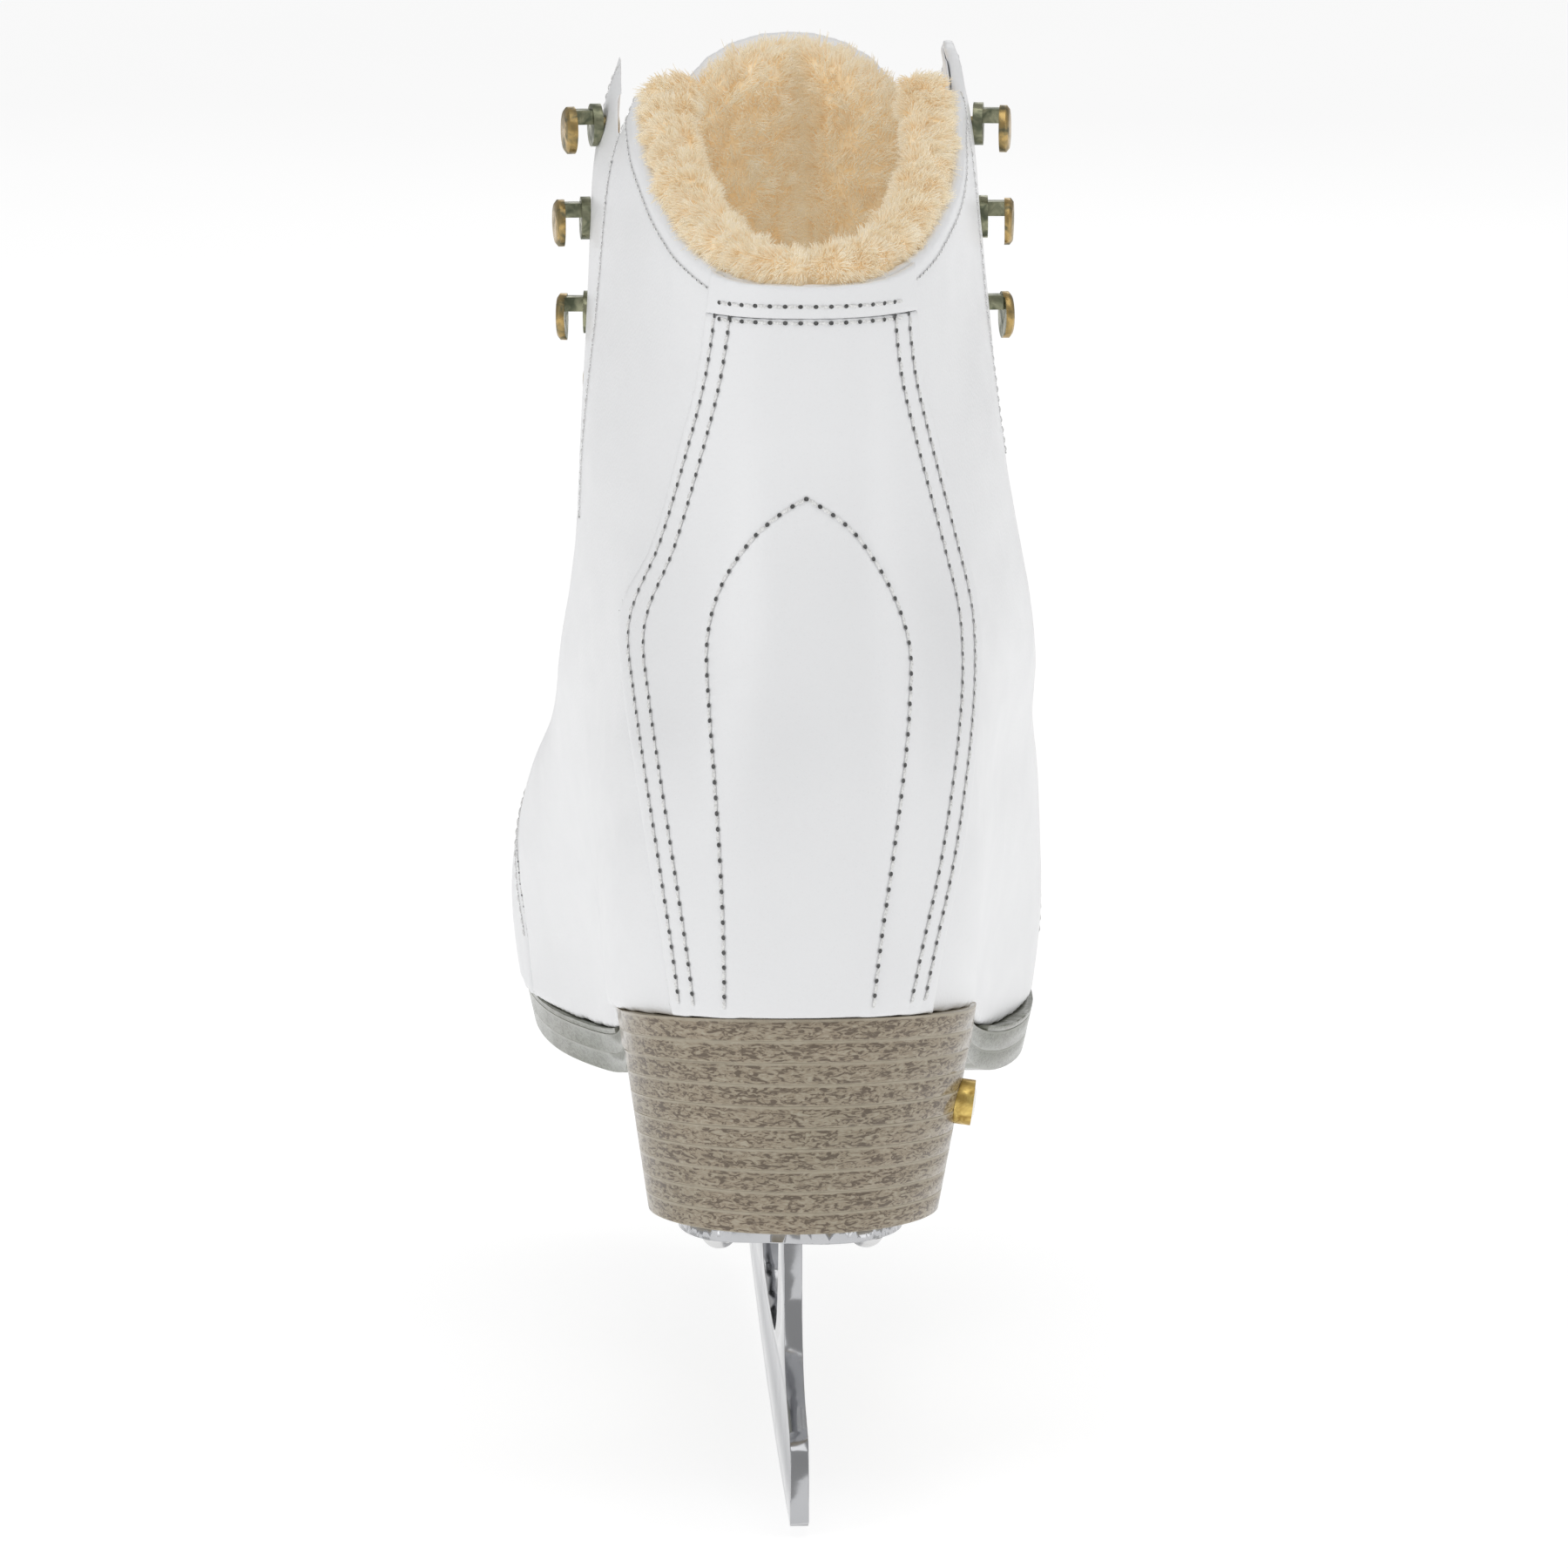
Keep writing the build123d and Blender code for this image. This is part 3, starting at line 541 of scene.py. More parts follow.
def smooth_line(points, count=8):
    points = [np.array(p, float) for p in points]
    padded = [points[0], *points, points[-1]]
    out = []
    for a, b, c, d in zip(padded, padded[1:], padded[2:], padded[3:]):
        out += [catmull(a, b, c, d, k / count) for k in range(count)]
    out.append(points[-1])
    return out


def stitch_meshes(name, rows, material, hole_shade_material, body, slot, width=0.34, height=0.26, hole=0.40):
    """Thread segments and dark needle-hole discs of painted shade for some rows of stitching, as two meshes.
    """
    threads, thread_faces, hole_shades, hole_faces = [], [], [], []
    around = 6
    stations = 6
    for points, normals in rows:
        for start, end, n0, n1 in zip(points, points[1:], normals, normals[1:]):
            along = end - start
            length = np.linalg.norm(along)
            if length < 1e-6:
                continue
            along = along / length
            normal = n0 + n1
            normal = normal - along * (normal @ along)
            normal /= np.linalg.norm(normal)
            side = np.cross(along, normal)
            slant = rng.uniform(0.02, 0.10)
            scale = rng.uniform(0.92, 1.08)
            base = len(threads)
            for s in range(stations):
                u = s / (stations - 1)
                t = 0.16 + 0.68 * u
                lift = math.sin(math.pi * u)
                swell = 0.45 + 0.55 * lift ** 0.6
                middle = start + along * length * t + side * length * slant * (u - 0.5)
                middle = middle + normal * MM * (0.05 + 0.16 * lift)
                for a in range(around):
                    angle = 2 * math.pi * a / around
                    threads.append(middle + side * math.cos(angle) * width * swell * scale * MM
                                   + normal * math.sin(angle) * height * swell * scale * MM)
            for s in range(stations - 1):
                for a in range(around):
                    i = base + s * around + a
                    j = base + s * around + (a + 1) % around
                    thread_faces.append((i, j, j + around, i + around))
            thread_faces.append(tuple(base + a for a in reversed(range(around))))
            thread_faces.append(tuple(base + (stations - 1) * around + a for a in range(around)))
            # Each needle hole is a flat dark disc on the leather: painted shade of the hole.
            base = len(hole_shades)
            sides = 8
            hole_shades.append(start + normal * MM * 0.02)
            for a in range(sides):
                angle = 2 * math.pi * a / sides
                hole_shades.append(start + normal * MM * 0.075 + along * math.cos(angle) * hole * 1.15 * MM
                             + side * math.sin(angle) * hole * MM)
            hole_faces += [(base, base + 1 + a, base + 1 + (a + 1) % sides) for a in range(sides)]
    thread = from_arrays(f"{name}_thread", threads, thread_faces)
    finish_piece(thread, material, body, slot)
    hole_shade_mesh = from_arrays(f"{name}_holes", hole_shades, hole_faces)
    finish_piece(hole_shade_mesh, hole_shade_material, body, slot)


def press_in(piece, rows, depth, width):
    """Sink the leather slightly along rows of stitching."""
    points, normals = coordinates(piece)
    seams = np.concatenate([np.array(p) for p, _ in rows])
    tree = KDPoints(seams)
    distance = tree.nearest(points, 4 * width * MM)
    move = depth * MM * np.exp(-(distance / (width * MM)) ** 2)
    set_coordinates(piece, points - normals * move[:, None])


class KDPoints:
    """Distance from many points to the nearest of a few."""

    def __init__(self, seeds):
        from mathutils.kdtree import KDTree
        self.tree = KDTree(len(seeds))
        for i, seed in enumerate(seeds):
            self.tree.insert(seed, i)
        self.tree.balance()
        self.low = seeds.min(0)
        self.high = seeds.max(0)

    def nearest(self, points, reach):
        out = np.full(len(points), 1.0)
        close = np.all((points > self.low - reach) & (points < self.high + reach), axis=1)
        for i in np.nonzero(close)[0]:
            out[i] = self.tree.find(points[i])[2]
        return out


# ---------------------------------------------------------------- pile

def sample_surface(piece, count, keep):
    """Random points on a mesh where keep(points, normals) is true, with their normals."""
    mesh = piece.data
    mesh.calc_loop_triangles()
    triangles = np.empty(len(mesh.loop_triangles) * 3, dtype=np.int64)
    mesh.loop_triangles.foreach_get("vertices", triangles)
    triangles = triangles.reshape(-1, 3)
    points, normals = coordinates(piece)
    a, b, c = (points[triangles[:, k]] for k in range(3))
    area = np.linalg.norm(np.cross(b - a, c - a), axis=1) / 2
    middle = (a + b + c) / 3
    facing = normals[triangles].mean(axis=1)
    facing /= np.linalg.norm(facing, axis=1)[:, None] + 1e-9
    area = area * keep(middle, facing)
    chosen = rng.choice(len(area), size=count, p=area / area.sum())
    u, v = rng.random(count), rng.random(count)
    flip = u + v > 1
    u[flip], v[flip] = 1 - u[flip], 1 - v[flip]
    place = a[chosen] + (b[chosen] - a[chosen]) * u[:, None] + (c[chosen] - a[chosen]) * v[:, None]
    return place, facing[chosen]


def pile(name, piece, count, length, comb, keep, body, slot, material, clump=0.0024, thick=0.16, lean=0.75):
    """Plush pile: tapered curved strands that gather into tufts. Lengths in mm."""
    roots, normals = sample_surface(piece, count, keep)
    comb = np.asarray(comb, float)
    combing = comb - normals * (normals @ comb)[:, None]
    cell = np.floor(roots / clump + 0.35 * smooth_noise(roots, 0.02, 5)[:, None])
    key = (cell[:, 0] * 73856093 + cell[:, 1] * 19349663 + cell[:, 2] * 83492791).astype(np.int64) % 4093
    tuft_random = np.random.default_rng(11).normal(size=(4093, 3))
    tuft = tuft_random[key]
    wander = rng.normal(size=(count, 3))
    centre = (cell + 0.5) * clump
    gather = centre - roots
    direction = normals + combing * lean * 0.5 + tuft * 0.24 + wander * 0.15
    bend = combing * lean + tuft * 0.34 + wander * 0.20 + gather / clump * 0.35
    direction /= np.linalg.norm(direction, axis=1)[:, None]
    size = length * MM * rng.uniform(0.65, 1.15, count)
    steps = 4
    sides = 3
    side = np.cross(direction, rng.normal(size=(count, 3)))
    side /= np.linalg.norm(side, axis=1)[:, None]
    other = np.cross(direction, side)
    rings = np.empty((count, steps, sides, 3))
    root_shade_and_tone = np.empty((count, steps, sides))
    shade = np.clip(0.5 + 0.16 * tuft[:, 0] + 0.10 * wander[:, 1], 0.1, 1.0)
    for s in range(steps):
        u = s / (steps - 1)
        middle = roots - normals * 0.0004 + size[:, None] * (direction * u + bend * 0.5 * u * u)
        radius = thick * MM * (1.0 - 0.72 * u)
        for a in range(sides):
            angle = 2 * math.pi * a / sides
            rings[:, s, a] = middle + (side * math.cos(angle) + other * math.sin(angle)) * radius
        # Tone climbs from root to tip, so the roots take the painted shade of the pile's depth; the tuft term
        # adds random variation.
        root_shade_and_tone[:, s] = (0.12 + 0.78 * u + 0.50 * (shade - 0.5))[:, None]
    index = np.arange(count)[:, None] * steps * sides
    faces = []
    for s in range(steps - 1):
        for a in range(sides):
            b = (a + 1) % sides
            low, high = s * sides, (s + 1) * sides
            corners = (low + a, low + b, high + b, high + a)
            faces.append(np.concatenate([index + corner for corner in corners], axis=1))
    faces = np.concatenate(faces)
    mesh = bpy.data.meshes.new(name)
    points = rings.reshape(-1, 3)
    mesh.vertices.add(len(points))
    mesh.vertices.foreach_set("co", points.ravel())
    mesh.loops.add(faces.size)
    mesh.loops.foreach_set("vertex_index", faces.ravel())
    mesh.polygons.add(len(faces))
    mesh.polygons.foreach_set("loop_start", np.arange(len(faces)) * 4)
    mesh.polygons.foreach_set("use_smooth", np.ones(len(faces), dtype=bool))
    mesh.update(calc_edges=True)
    fur = mesh_object(name, mesh)
    float_attribute(fur, "tone", np.clip(root_shade_and_tone.ravel(), 0, 1))
    return finish_piece(fur, material, body, slot)


# ---------------------------------------------------------------- materials in use

LEATHER = white_leather_material()
HEEL_STACK = stacked_leather_material("heel_stack", (0.285, 0.225, 0.152), (0.105, 0.072, 0.042),
                                      (0.400, 0.350, 0.262), (0.90, 0.94, 0.93))
SOLE_STACK = stacked_leather_material("sole_stack", (0.165, 0.168, 0.128), (0.100, 0.096, 0.070),
                                      (0.235, 0.240, 0.195), (0.84, 0.95, 0.90))
BLADE = steel_material("blade_chrome", (0.50, 0.505, 0.52), 0.10, 0.06)
PLATE = steel_material("plate_chrome", (0.56, 0.565, 0.58), 0.13, 0.2)
SCREW = steel_material("screw_steel", (0.76, 0.76, 0.76), 0.14, 1.0)
HOOK_BRASS = brass_material("hook_brass", (0.52, 0.36, 0.14), (0.17, 0.155, 0.09))
HOOK_NECK = brass_material("hook_neck", (0.33, 0.33, 0.22), (0.13, 0.145, 0.095))
EYELET_BRASS = brass_material("eyelet_brass", (0.66, 0.50, 0.22), (0.28, 0.24, 0.13))
STUD_BRASS = brass_material("stud_brass", (0.83, 0.62, 0.20), (0.42, 0.27, 0.07))
PEARL = pearl_material()
# Root colour: painted shade of the pile's depth; tip colour: the fibre's own cream.
PLUSH = plush_material("plush", (0.90, 0.70, 0.42), (1.0, 0.96, 0.84))
THREAD = thread_material("thread", (0.86, 0.86, 0.85), (0.62, 0.62, 0.61))
# Needle-hole discs: near-black painted shade where the thread enters the leather.
HOLE_SHADE = thread_material("needle_hole_shade", (0.10, 0.10, 0.10), (0.045, 0.045, 0.045))
SUEDE = suede_material("suede", (0.72, 0.58, 0.38))
BOARD = suede_material("fibreboard", (0.42, 0.28, 0.16))


# ---------------------------------------------------------------- leather upper

def wrinkled(piece, size, depth, seed, region=None):
    """Low, uneven waves in the leather; region gives a weight for each vertex."""
    points, normals = coordinates(piece)
    wave = smooth_noise(points, size, seed) * depth * MM
    if region is not None:
        wave *= region(points)
    set_coordinates(piece, points + normals * wave[:, None])



def panel_edge(side, inset):
    """Model points of a row of stitching that follows the back panel's edge at an inset."""
    edge = {
        -1: ((-15.4, 221), (-17.2, 208), (-20.2, 195), (-25.2, 177), (-29.6, 166), (-31.0, 159), (-30.2, 150),
             (-28.4, 137), (-26.0, 121), (-23.8, 106), (-22.4, 95)),
        1: ((22.4, 221), (23.9, 208), (27.0, 195), (31.8, 177), (34.5, 166), (35.3, 159), (35.1, 150),
            (33.5, 137), (30.8, 121), (27.4, 106), (25.2, 95)),
    }[side]
    return [(x - side * inset, 0, z) for x, z in smooth_line(edge, 10)]


def arch_line(side):
    """Model points of the single row over the heel counter, from the tip down."""
    shape = {
        -1: ((2.2, 187.0), (-2.5, 184.2), (-8.0, 179.0), (-13.2, 170.5), (-15.6, 161), (-15.4, 150),
             (-14.6, 138), (-13.6, 122), (-13.0, 108), (-12.8, 95)),
        1: ((2.2, 187.0), (6.8, 184.2), (11.8, 179.5), (17.6, 170), (20.9, 160), (20.8, 150), (19.6, 138),
            (17.4, 122), (15.4, 108), (14.0, 95)),
    }[side]
    return [(x, 0, z) for x, z in smooth_line(shape, 10)]


def rim_row(side, below, start, stop):
    """Row of stitching that follows the collar at a distance below its edge."""
    line = []
    for k in range(60):
        column = start + (stop - start) * k / 59
        column = column if side > 0 else 16 - column
        z = 226.0
        for _ in range(8):
            point = surface_point(ring_row(z), column)
            drop = curve_value(LATERAL_DROP, point[1]) if side > 0 else 0.0
            z = curve_value(RIM_LINE, point[1]) - drop - below
        line.append(tuple(surface_point(ring_row(z), column)))
    return line


def facing_row(side, inset, low_z, high_z):
    """Row of stitching along a facing, a little behind its edge."""
    line = []
    for k in range(90):
        z = low_z + (high_z - low_z) * k / 89
        half = curve_value(THROAT, z) + inset
        low, high = (3.0, 8.0) if side > 0 else (13.0, 8.0)
        row = ring_row(z)
        for _ in range(26):
            middle = 0.5 * (low + high)
            point = surface_point(row, middle)
            if side * (point[0] - THROAT_X) > half or point[1] < 78:
                low = middle
            else:
                high = middle
        line.append(tuple(surface_point(row, low)))
    return line


def leather_upper():
    flex = lambda p: np.exp(-((p[:, 2] - 0.165) / 0.03) ** 2) * 0.8 + 0.35
    quarters = {}
    for name, side in (("medial", -1), ("lateral", 1)):
        quarter = remeshed(f"{name}_quarter_leather", [f"{name}_quarter"], 0.85, 6)
        wrinkled(quarter, 0.045, 0.22, 3 + side, flex)
        wrinkled(quarter, 0.012, 0.05, 8 + side, flex)
        quarters[side] = quarter
    vamp = remeshed("vamp_leather", ["vamp"], 0.85, 6)
    wrinkled(vamp, 0.05, 0.2, 21)
    panel = remeshed("back_panel_leather", ["back_panel"], 0.55, 7)
    wrinkled(panel, 0.05, 0.14, 5)
    band = remeshed("top_band_leather", ["top_band"], 0.4, 4)
    tree = bvh(panel)
    rows = []
    for side in (-1, 1):
        for inset in (1.6, 4.2):
            placed, normals = projected(panel_edge(side, inset), tree, (0, 1, 0), BEHIND_Y)
            rows.append(evenly(placed, normals, PITCH))
    band_tree = bvh(panel, band)
    for z in (218.8, 221.8):
        line = [(x, 0, z) for x in np.linspace(-13.2, 20.0, 40)]
        placed, normals = projected(line, band_tree, (0, 1, 0), BEHIND_Y)
        if len(placed) > 4:
            rows.append(evenly(placed, normals, PITCH))
    for side in (-1, 1):
        placed, normals = projected(arch_line(side), tree, (0, 1, 0), BEHIND_Y)
        rows.append(evenly(placed, normals, PITCH))
    press_in(panel, rows, 0.22, 0.8)
    stitch_meshes("back_panel", rows, THREAD, HOLE_SHADE, "boot", "white_leather")
    for name, side in (("medial", -1), ("lateral", 1)):
        tree = bvh(quarters[side])
        rows = []
        lines = (rim_row(side, 4.2, 0.95, 5.55), facing_row(side, 3.0, 141.5, 258),
                 facing_row(side, 15.5, 143, 256))
        for line in lines:
            placed, normals = snapped(line, tree, 0.004)
            if len(placed) > 4:
                rows.append(evenly(placed, normals, 1.9))
        press_in(quarters[side], rows, 0.18, 0.7)
        stitch_meshes(f"{name}_quarter", rows, THREAD, HOLE_SHADE, "boot", "white_leather", 0.2, 0.16, 0.2)
        finish_piece(quarters[side], LEATHER, "boot", "white_leather", f"{name}_quarter")
        facing = remeshed(f"{name}_facing_leather", [f"{name}_facing"], 0.5, 3)
        finish_piece(facing, LEATHER, "boot", "white_leather", f"{name}_facing")
    tree = bvh(vamp)
    rows = []
    for offset in (2.0, 4.6):
        for side in (-1, 1):
            line = []
            for y, z in smooth_line(VAMP_ROW, 8):
                row = ring_row(z)
                low, high = (3.0, 8.0) if side > 0 else (13.0, 8.0)
                for _ in range(26):
                    middle = 0.5 * (low + high)
                    if surface_point(row, middle)[1] < y + offset:
                        low = middle
                    else:
                        high = middle
                line.append(tuple(surface_point(row, low)))
            placed, normals = snapped(line, tree, 0.003)
            if len(placed) > 4:
                rows.append(evenly(placed, normals, 2.2))
    if rows:
        press_in(vamp, rows, 0.18, 0.7)
        stitch_meshes("vamp", rows, THREAD, HOLE_SHADE, "boot", "white_leather", 0.22, 0.18, 0.22)
    finish_piece(vamp, LEATHER, "boot", "white_leather", "vamp")
    finish_piece(panel, LEATHER, "boot", "white_leather", "back_panel")
    finish_piece(band, LEATHER, "boot", "white_leather", "top_band")


# ---------------------------------------------------------------- plush

def shaft_centre(points):
    """The middle of the shaft at each point's height, roughly."""
    centre = np.zeros_like(points)
    centre[:, 0] = (2.5 - CENTRE[0]) * MM
    centre[:, 1] = (60 - CENTRE[1]) * MM
    centre[:, 2] = points[:, 2]
    return centre


def inward(points, normals):
    toward = shaft_centre(points) - points
    toward /= np.linalg.norm(toward, axis=1)[:, None] + 1e-9
    return np.einsum("ij,ij->i", toward, normals)


def collar():
    roll = remeshed("collar_roll_base", ["collar_roll"], 0.9, 26)
    points, normals = coordinates(roll)
    lumps = smooth_noise(points, 0.018, 31) * 0.45 * MM
    seam = -1.4 * MM * np.exp(-(((points[:, 0] * 1000 + 2.2 - 3.2) / 1.6) ** 2)) * (points[:, 1] < -0.09)
    set_coordinates(roll, points + normals * (lumps + seam)[:, None])
    # Base skin set low on the tone ramp, toward the root colour: painted shade of the pile's depth, with
    # random variation.
    float_attribute(roll, "tone", 0.35 + 0.2 * smooth_noise(points, 0.006, 32))
    finish_piece(roll, PLUSH, "boot", "plush", "collar_roll")

    def shown(half):
        def keep(p, n):
            y = p[:, 1] * 1000 + CENTRE[1]
            rim = np.interp(y, [q[0] for q in RIM_LINE], [q[1] for q in RIM_LINE]) * MM
            drop = np.interp(y, [q[0] for q in LATERAL_DROP], [q[1] for q in LATERAL_DROP])
            rim -= drop * MM * (half > 0)
            visible = (p[:, 2] > rim + 0.0001) | (inward(p, n) > 0.25)
            visible &= p[:, 2] > rim - 0.0115
            return visible & (p[:, 0] * half > 0.0004 * half)
        return keep

    for name, half in (("medial", -1), ("lateral", 1)):
        for part in (1, 2):
            pile(f"{name}_collar_pile_{part}", roll, STRANDS, 2.3, (half * 0.55, -0.55, -0.35), shown(half),
                 "boot", "plush", PLUSH)


def linings():
    for name, half in (("medial", -1), ("lateral", 1)):
        pad = remeshed(f"{name}_lining_pad", [f"{name}_padding", f"{name}_lining"], 1.3, 14)
        points, normals = coordinates(pad)
        set_coordinates(pad, points + normals * (smooth_noise(points, 0.02, 41) * 0.3 * MM)[:, None])
        # Base skin set low on the tone ramp, toward the root colour: painted shade of the pile's depth, with
        # random variation.
        float_attribute(pad, "tone", 0.3 + 0.2 * smooth_noise(points, 0.006, 42))
        finish_piece(pad, PLUSH, "boot", "plush", f"{name}_padding", f"{name}_lining")

        def keep(p, n):
            return (inward(p, n) > 0.2) & (p[:, 2] > 0.178)

        pile(f"{name}_lining_pile", pad, STRANDS, 2.5, (0.1 * half, 0.2, -0.8), keep, "boot", "plush", PLUSH)


def tongue_half(z):
    """Half-width of the tongue at a height, in mm: straight sides under a round top."""
    top = 259.6
    rise = np.clip((z - (top - 17.0)) / 17.0, 0, 1)
    return 21.0 * np.sqrt(np.clip(1 - rise ** 2.2, 0, 1))


def tongue_front_y(z, x):
    """y of the boot's outer surface in front of a point (x, z) of the tongue."""
    row = ring_row(z)
    low, high = 5.0, 11.0
    for _ in range(24):
        middle = 0.5 * (low + high)
        if surface_point(row, middle)[0] > x:
            low = middle
        else:
            high = middle
    return surface_point(row, low)[1]


def tongue():
    """Padded tongue: a leather face outside and two plush lobes inside, parted by a deep crease."""
    across, up = 72, 96
    low_z, top = 186.4, 259.6
    front, back = [], []
    for j in range(up + 1):
        v = j / up
        z = low_z + (top - low_z - 0.15) * (1 - (1 - v) ** 1.25)
        half = float(tongue_half(z))
        for i in range(across + 1):
            u = 2 * i / across - 1
            x = TONGUE_X + u * half
            y = tongue_front_y(min(z, 262), x) - 5.3
            lobe = 2.0
            if abs(u - 0.10) < 1.05:
                lobe = 2.0 + 9.4 * (1 - abs(2 * abs(u - 0.10) / 1.05 - 1.0) ** 2.4)
            crease = 5.4 * math.exp(-((u - 0.12 - 0.05 * math.sin(v * 4)) / 0.10) ** 2)
            edge = (1 - abs(u) ** 6) ** 0.5 if abs(u) < 1 else 0.0
            rounding = math.sqrt(max(0.0, 1 - max(0.0, (z - (top - 9)) / 9.2) ** 2))
            thickness = max(1.0, (lobe + 1.6 - crease) * (0.25 + 0.75 * edge) * (0.25 + 0.75 * rounding))
            front.append(to_row((x, y, z)))
            back.append(to_row((x + 0.6 * u, y - thickness, z - 0.2)))
    count = len(front)
    width = across + 1
    faces = []
    for j in range(up):
        for i in range(across):
            a = j * width + i
            faces.append((a, a + width, a + width + 1, a + 1))
            faces.append((count + a, count + a + 1, count + a + width + 1, count + a + width))
    border = [i for i in range(width)] + [j * width + across for j in range(1, up + 1)]
    border += [up * width + i for i in range(across - 1, -1, -1)] + [j * width for j in range(up - 1, 0, -1)]
    for a, b in zip(border, border[1:] + border[:1]):
        faces.append((a, b, count + b, count + a))
    body = from_arrays("tongue_pad", front + back, faces)
    bm = bmesh.new()
    bm.from_mesh(body.data)
    bmesh.ops.remove_doubles(bm, verts=bm.verts, dist=2e-5)
    bmesh.ops.recalc_face_normals(bm, faces=bm.faces)
    bm.to_mesh(body.data)
    bm.free()
    remesh = body.modifiers.new("even", "REMESH")
    remesh.mode = "VOXEL"
    remesh.voxel_size = 0.0008
    soften = body.modifiers.new("soften", "SMOOTH")
    soften.iterations = 6
    apply_modifiers(body)
    points, normals = coordinates(body)
    inner = normals[:, 1] < 0.45
    set_coordinates(body, points + normals * (smooth_noise(points, 0.016, 51) * 0.35 * MM * inner)[:, None])
    # Base skin set low on the tone ramp, toward the root colour: painted shade of the pile's depth, with
    # random variation.
    float_attribute(body, "tone", 0.3 + 0.2 * smooth_noise(points, 0.005, 52))
    finish_piece(body, PLUSH, "tongue", "plush", "tongue_plush", "tongue_foam")

    def keep(p, n):
        return n[:, 1] < 0.30

    for part in (1, 2, 3):
        upward = 0.75 if part < 3 else 0.2
        pile(f"tongue_pile_{part}", body, STRANDS, 2.6, (0.15, -0.25, upward), keep, "tongue", "plush", PLUSH)
    shell = remeshed("tongue_face_leather", ["tongue_leather"], 0.6, 6)
    wrinkled(shell, 0.03, 0.15, 61)
    tree = bvh(shell)
    line = []
    for k in range(81):
        angle = math.pi * k / 80
        line.append((TONGUE_X + 18.6 * math.cos(angle), 0, 240.5 + 17.5 * math.sin(angle)))
    line = [(line[0][0], 0, z) for z in np.linspace(190, 240, 30)] + line
    line += [(line[-1][0], 0, z) for z in np.linspace(240, 190, 30)]
    placed, normals = projected(line, tree, (0, -1, 0), 300)
    if len(placed) > 4:
        rows = [evenly(placed, normals, 2.2)]
        press_in(shell, rows, 0.15, 0.7)
        stitch_meshes("tongue", rows, THREAD, HOLE_SHADE, "tongue", "white_leather", 0.22, 0.18, 0.22)
    finish_piece(shell, LEATHER, "tongue", "white_leather", "tongue_leather")
    root = remeshed("tongue_root_pad", ["tongue_base"], 1.0, 10)
    wrinkled(root, 0.02, 0.25, 62)
    finish_piece(root, SUEDE, "boot", "lining_leather", "tongue_base")


# ---------------------------------------------------------------- heel, sole and blade

FEATHER_DENSE = smooth_line(FEATHER_LINE, 6)


def feather_z(y):
    return np.interp(y, [p[0] for p in FEATHER_DENSE], [p[1] for p in FEATHER_DENSE])


def ply_values(piece):
    """Height of each vertex counted in plies, from the ground up."""
    points, _ = coordinates(piece)
    y = points[:, 1] * 1000 + CENTRE[1]
    z = points[:, 2] * 1000
    top = feather_z(y)
    heel = (z - HEEL_BASE_Z) / (top - HEEL_BASE_Z) * PLY_COUNT
    sole = PLY_COUNT + (z - top + 1.2) / SOLE_PLY
    share = np.clip((y - 60) / 35, 0, 1)
    return heel * (1 - share) + sole * share


def bottom():
    for k in range(1, 9):
        lift = bevelled(f"heel_lift_{k}_leather", [f"heel_lift_{k}"], 0.16, 2)
        float_attribute(lift, "ply", ply_values(lift))
        finish_piece(lift, HEEL_STACK, "boot", "stack_leather", f"heel_lift_{k}")
    for name in ("midsole", "outsole"):
        layer = bevelled(f"{name}_leather", [name], 0.2, 2)
        float_attribute(layer, "ply", ply_values(layer))
        points, _ = coordinates(layer)
        finish_piece(layer, HEEL_STACK, "boot", "sole_leather", name, extra_materials=(SOLE_STACK,))
        for polygon in layer.data.polygons:
            if polygon.center.y * 1000 + CENTRE[1] > 66:
                polygon.material_index = 1
    welt = bevelled("welt_leather", ["welt"], 0.2, 2)
    float_attribute(welt, "ply", ply_values(welt))
    finish_piece(welt, SOLE_STACK, "boot", "sole_leather", "welt")
    for name, nodes, width, material, slot in (
            ("runner_steel", "runner", 0.28, BLADE, "blade_steel"),
            ("heel_plate_steel", "heel_plate", 0.35, PLATE, "plate_steel"),
            ("sole_plate_steel", "sole_plate", 0.35, PLATE, "plate_steel"),
            ("heel_plate_screw_heads", "heel_plate_screws", 0.14, SCREW, "screw_steel"),
            ("sole_plate_screw_heads", "sole_plate_screws", 0.14, SCREW, "screw_steel"),
            ("stud_rim", "heel_stud_rim", 0.25, STUD_BRASS, "stud_brass"),
            ("stud_face", "heel_stud_face", 0.15, PEARL, "stud_face")):
        piece = bevelled(name, [nodes], width, 3)
        finish_piece(piece, material, "boot", slot, nodes)


def curl_heads(hooks):
    """Thins the head of each hook, curls its rim toward the boot and gives the neck its own finish."""
    points, _ = coordinates(hooks)
    depth = np.zeros(len(points))
    for height in HOOK_HEIGHTS:
        near = abs(points[:, 2] - height * MM) < 8.5 * MM
        reach = abs(points[near, 0]).max()
        depth[near] = (reach - abs(points[near, 0])) / MM
        head = near & (depth < 2.7)
        middle = points[head].mean(axis=0)
        radius = np.hypot(points[head, 1] - middle[1], points[head, 2] - middle[2]) / MM
        curled = 0.45 * depth[head] + 1.3 * (radius / 4.3) ** 2
        points[head, 0] = np.sign(points[head, 0]) * (reach - curled * MM)
    set_coordinates(hooks, points)
    for face in hooks.data.polygons:
        face.material_index = int(np.mean(depth[list(face.vertices)]) > 2.75)


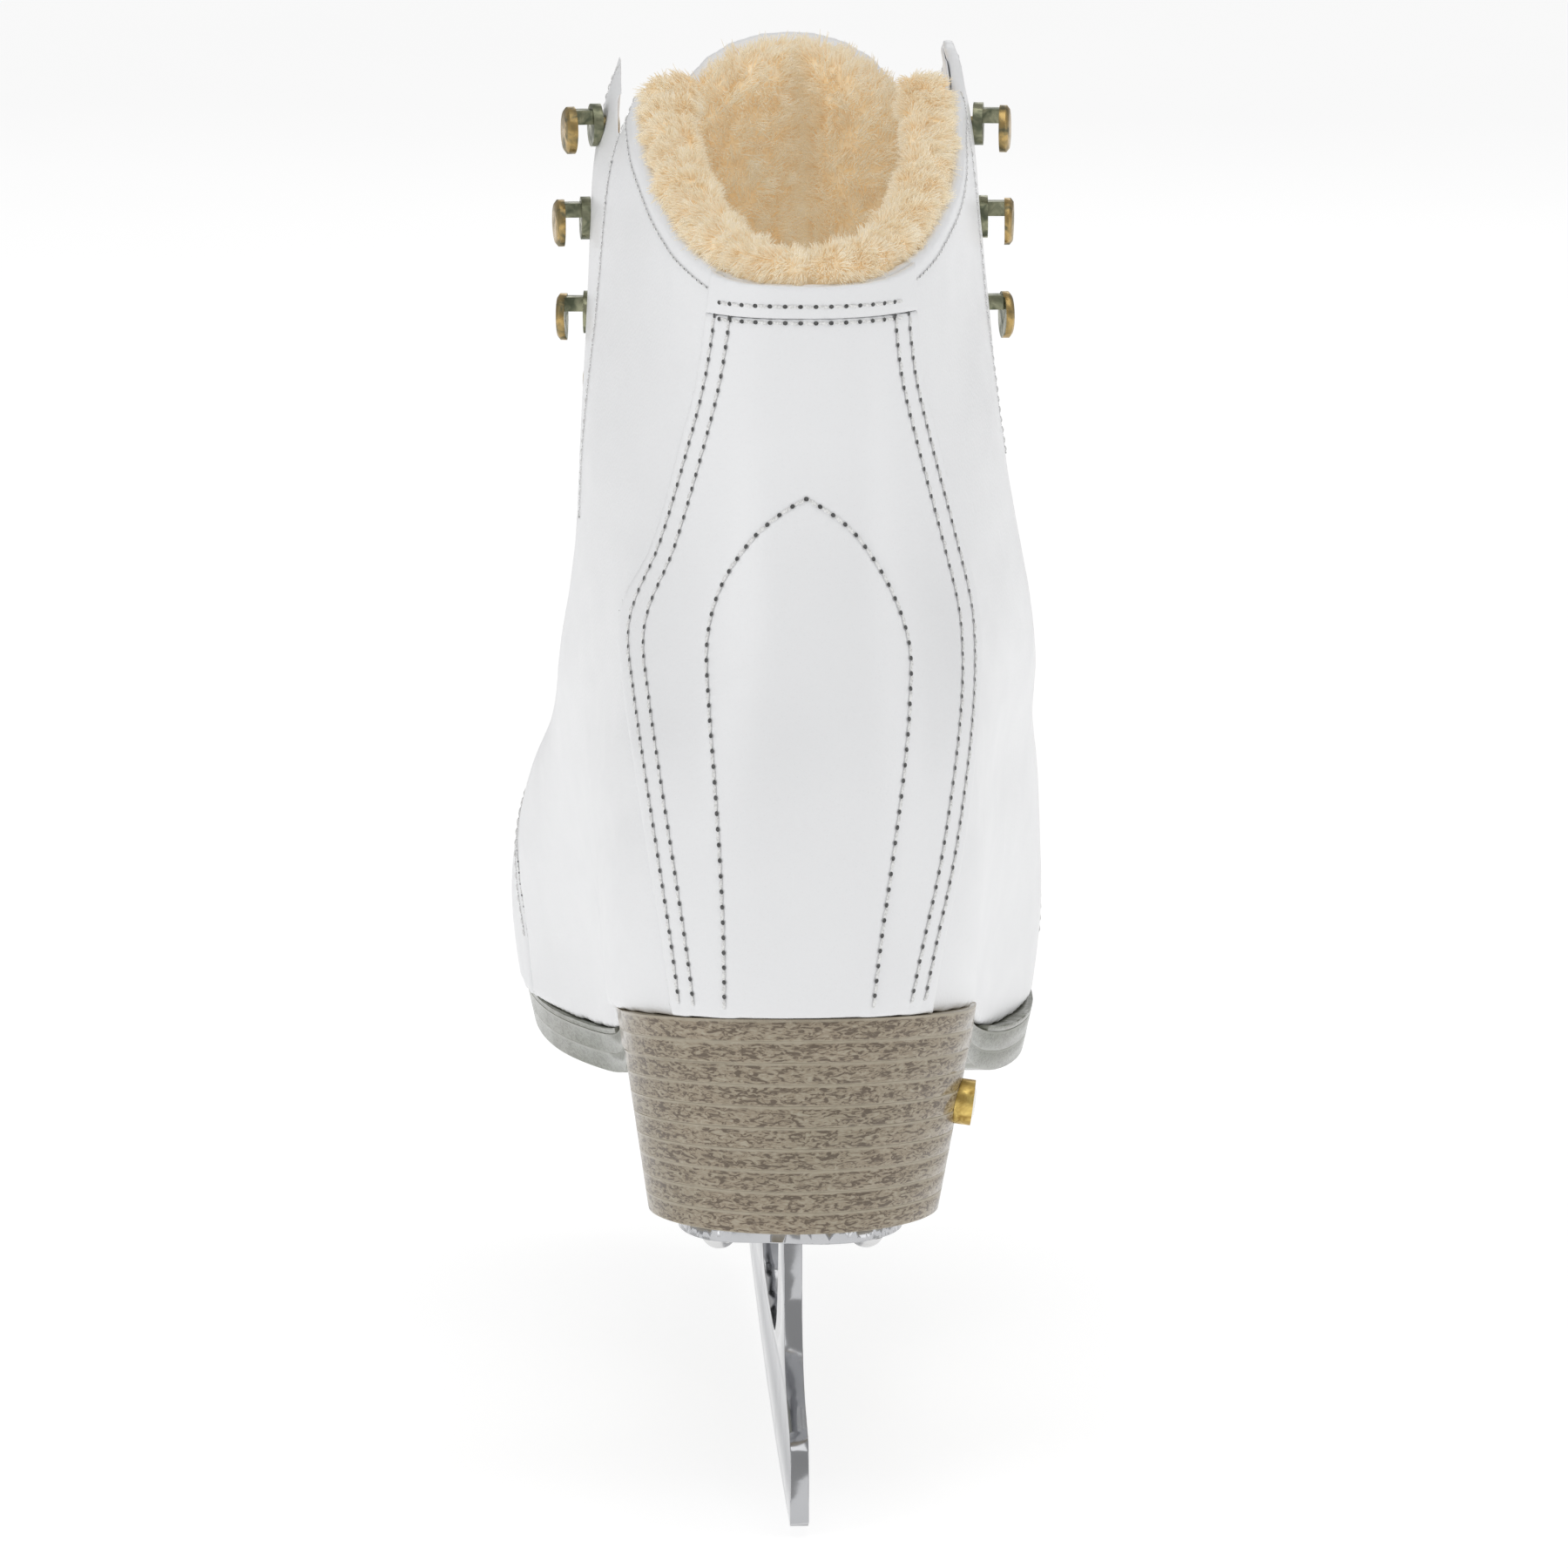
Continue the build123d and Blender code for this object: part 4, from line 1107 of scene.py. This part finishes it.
def hardware():
    for side in ("medial", "lateral"):
        hooks = bevelled(f"{side}_lace_hooks", [f"{side}_hooks"], 0.32, 3)
        finish_piece(hooks, HOOK_BRASS, "boot", "antique_brass", f"{side}_hooks",
                     extra_materials=(HOOK_NECK,))
        curl_heads(hooks)
        eyelets = bevelled(f"{side}_lace_eyelets", [f"{side}_eyelets"], 0.3, 3)
        finish_piece(eyelets, EYELET_BRASS, "boot", "antique_brass", f"{side}_eyelets")


def hidden_nodes():
    """Inner pieces keep their CAD shape and get a finish of their own."""
    finishes = {"insole_board": BOARD, "footbed": SUEDE, "heel_counter": BOARD, "toe_puff": BOARD,
                "vamp_lining": SUEDE, "medial_hook_rivets": EYELET_BRASS, "lateral_hook_rivets": EYELET_BRASS}
    for node, material in finishes.items():
        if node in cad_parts:
            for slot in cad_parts[node].material_slots:
                slot.material = material


# ---------------------------------------------------------------- studio

def studio():
    floor = from_arrays("floor", [(-6, -6, 0), (6, -6, 0), (6, 6, 0), (-6, 6, 0)], [(0, 1, 2, 3)])
    material, nodes, links, shader = new_material("floor")
    cloud = noise(nodes, links, place_of(nodes, links), 3, 2)
    tone = ramp(nodes, links, cloud.outputs["Fac"], [(0.2, grey(0.36)), (0.8, grey(0.38))])
    links.new(tone.outputs["Color"], shader.inputs["Base Color"])
    shader.inputs["Roughness"].default_value = 0.9
    shader.inputs["Emission Color"].default_value = (1.0, 1.0, 1.0, 1)
    shader.inputs["Emission Strength"].default_value = 0.76
    floor.data.materials.append(material)
    scene = bpy.context.scene
    world = bpy.data.worlds.new("studio")
    scene.world = world
    world.use_nodes = True
    background = world.node_tree.nodes["Background"]
    background.inputs["Color"].default_value = (1.0, 1.0, 1.0, 1)
    background.inputs["Strength"].default_value = 0.42
    for name, place, aim, size, power in (
            ("left_softbox", (-1.5, -1.1, 0.9), (0, 0, 0.14), (1.2, 1.4), 8.5),
            ("right_softbox", (1.6, -0.5, 0.7), (0, 0, 0.12), (0.8, 1.4), 5),
            ("top_softbox", (0.1, -0.5, 1.8), (0, 0, 0.15), (1.4, 1.4), 6.5),
            ("front_softbox", (0.3, 1.9, 1.1), (0, 0, 0.15), (1.2, 1.0), 4)):
        light = bpy.data.lights.new(name, "AREA")
        light.shape = "RECTANGLE"
        light.size, light.size_y = size
        light.energy = power
        lamp = bpy.data.objects.new(name, light)
        scene.collection.objects.link(lamp)
        lamp.location = place
        lamp.rotation_euler = (Vector(aim) - Vector(place)).to_track_quat("-Z", "Y").to_euler()
    scene.view_settings.view_transform = "Standard"
    scene.view_settings.exposure = 0.0


def camera():
    data = bpy.data.cameras.new("camera")
    data.lens = 234
    data.sensor_width = 36
    data.clip_end = 50
    data.dof.use_dof = False
    eye = bpy.data.objects.new("camera", data)
    bpy.context.scene.collection.objects.link(eye)
    eye.location = to_row((-65, -1800, 435))
    eye.rotation_euler = (math.radians(90 - 9.4), 0, math.radians(-2.0))
    bpy.context.scene.camera = eye


camera()
studio()
hidden_nodes()
bottom()
hardware()
leather_upper()
collar()
linings()
tongue()
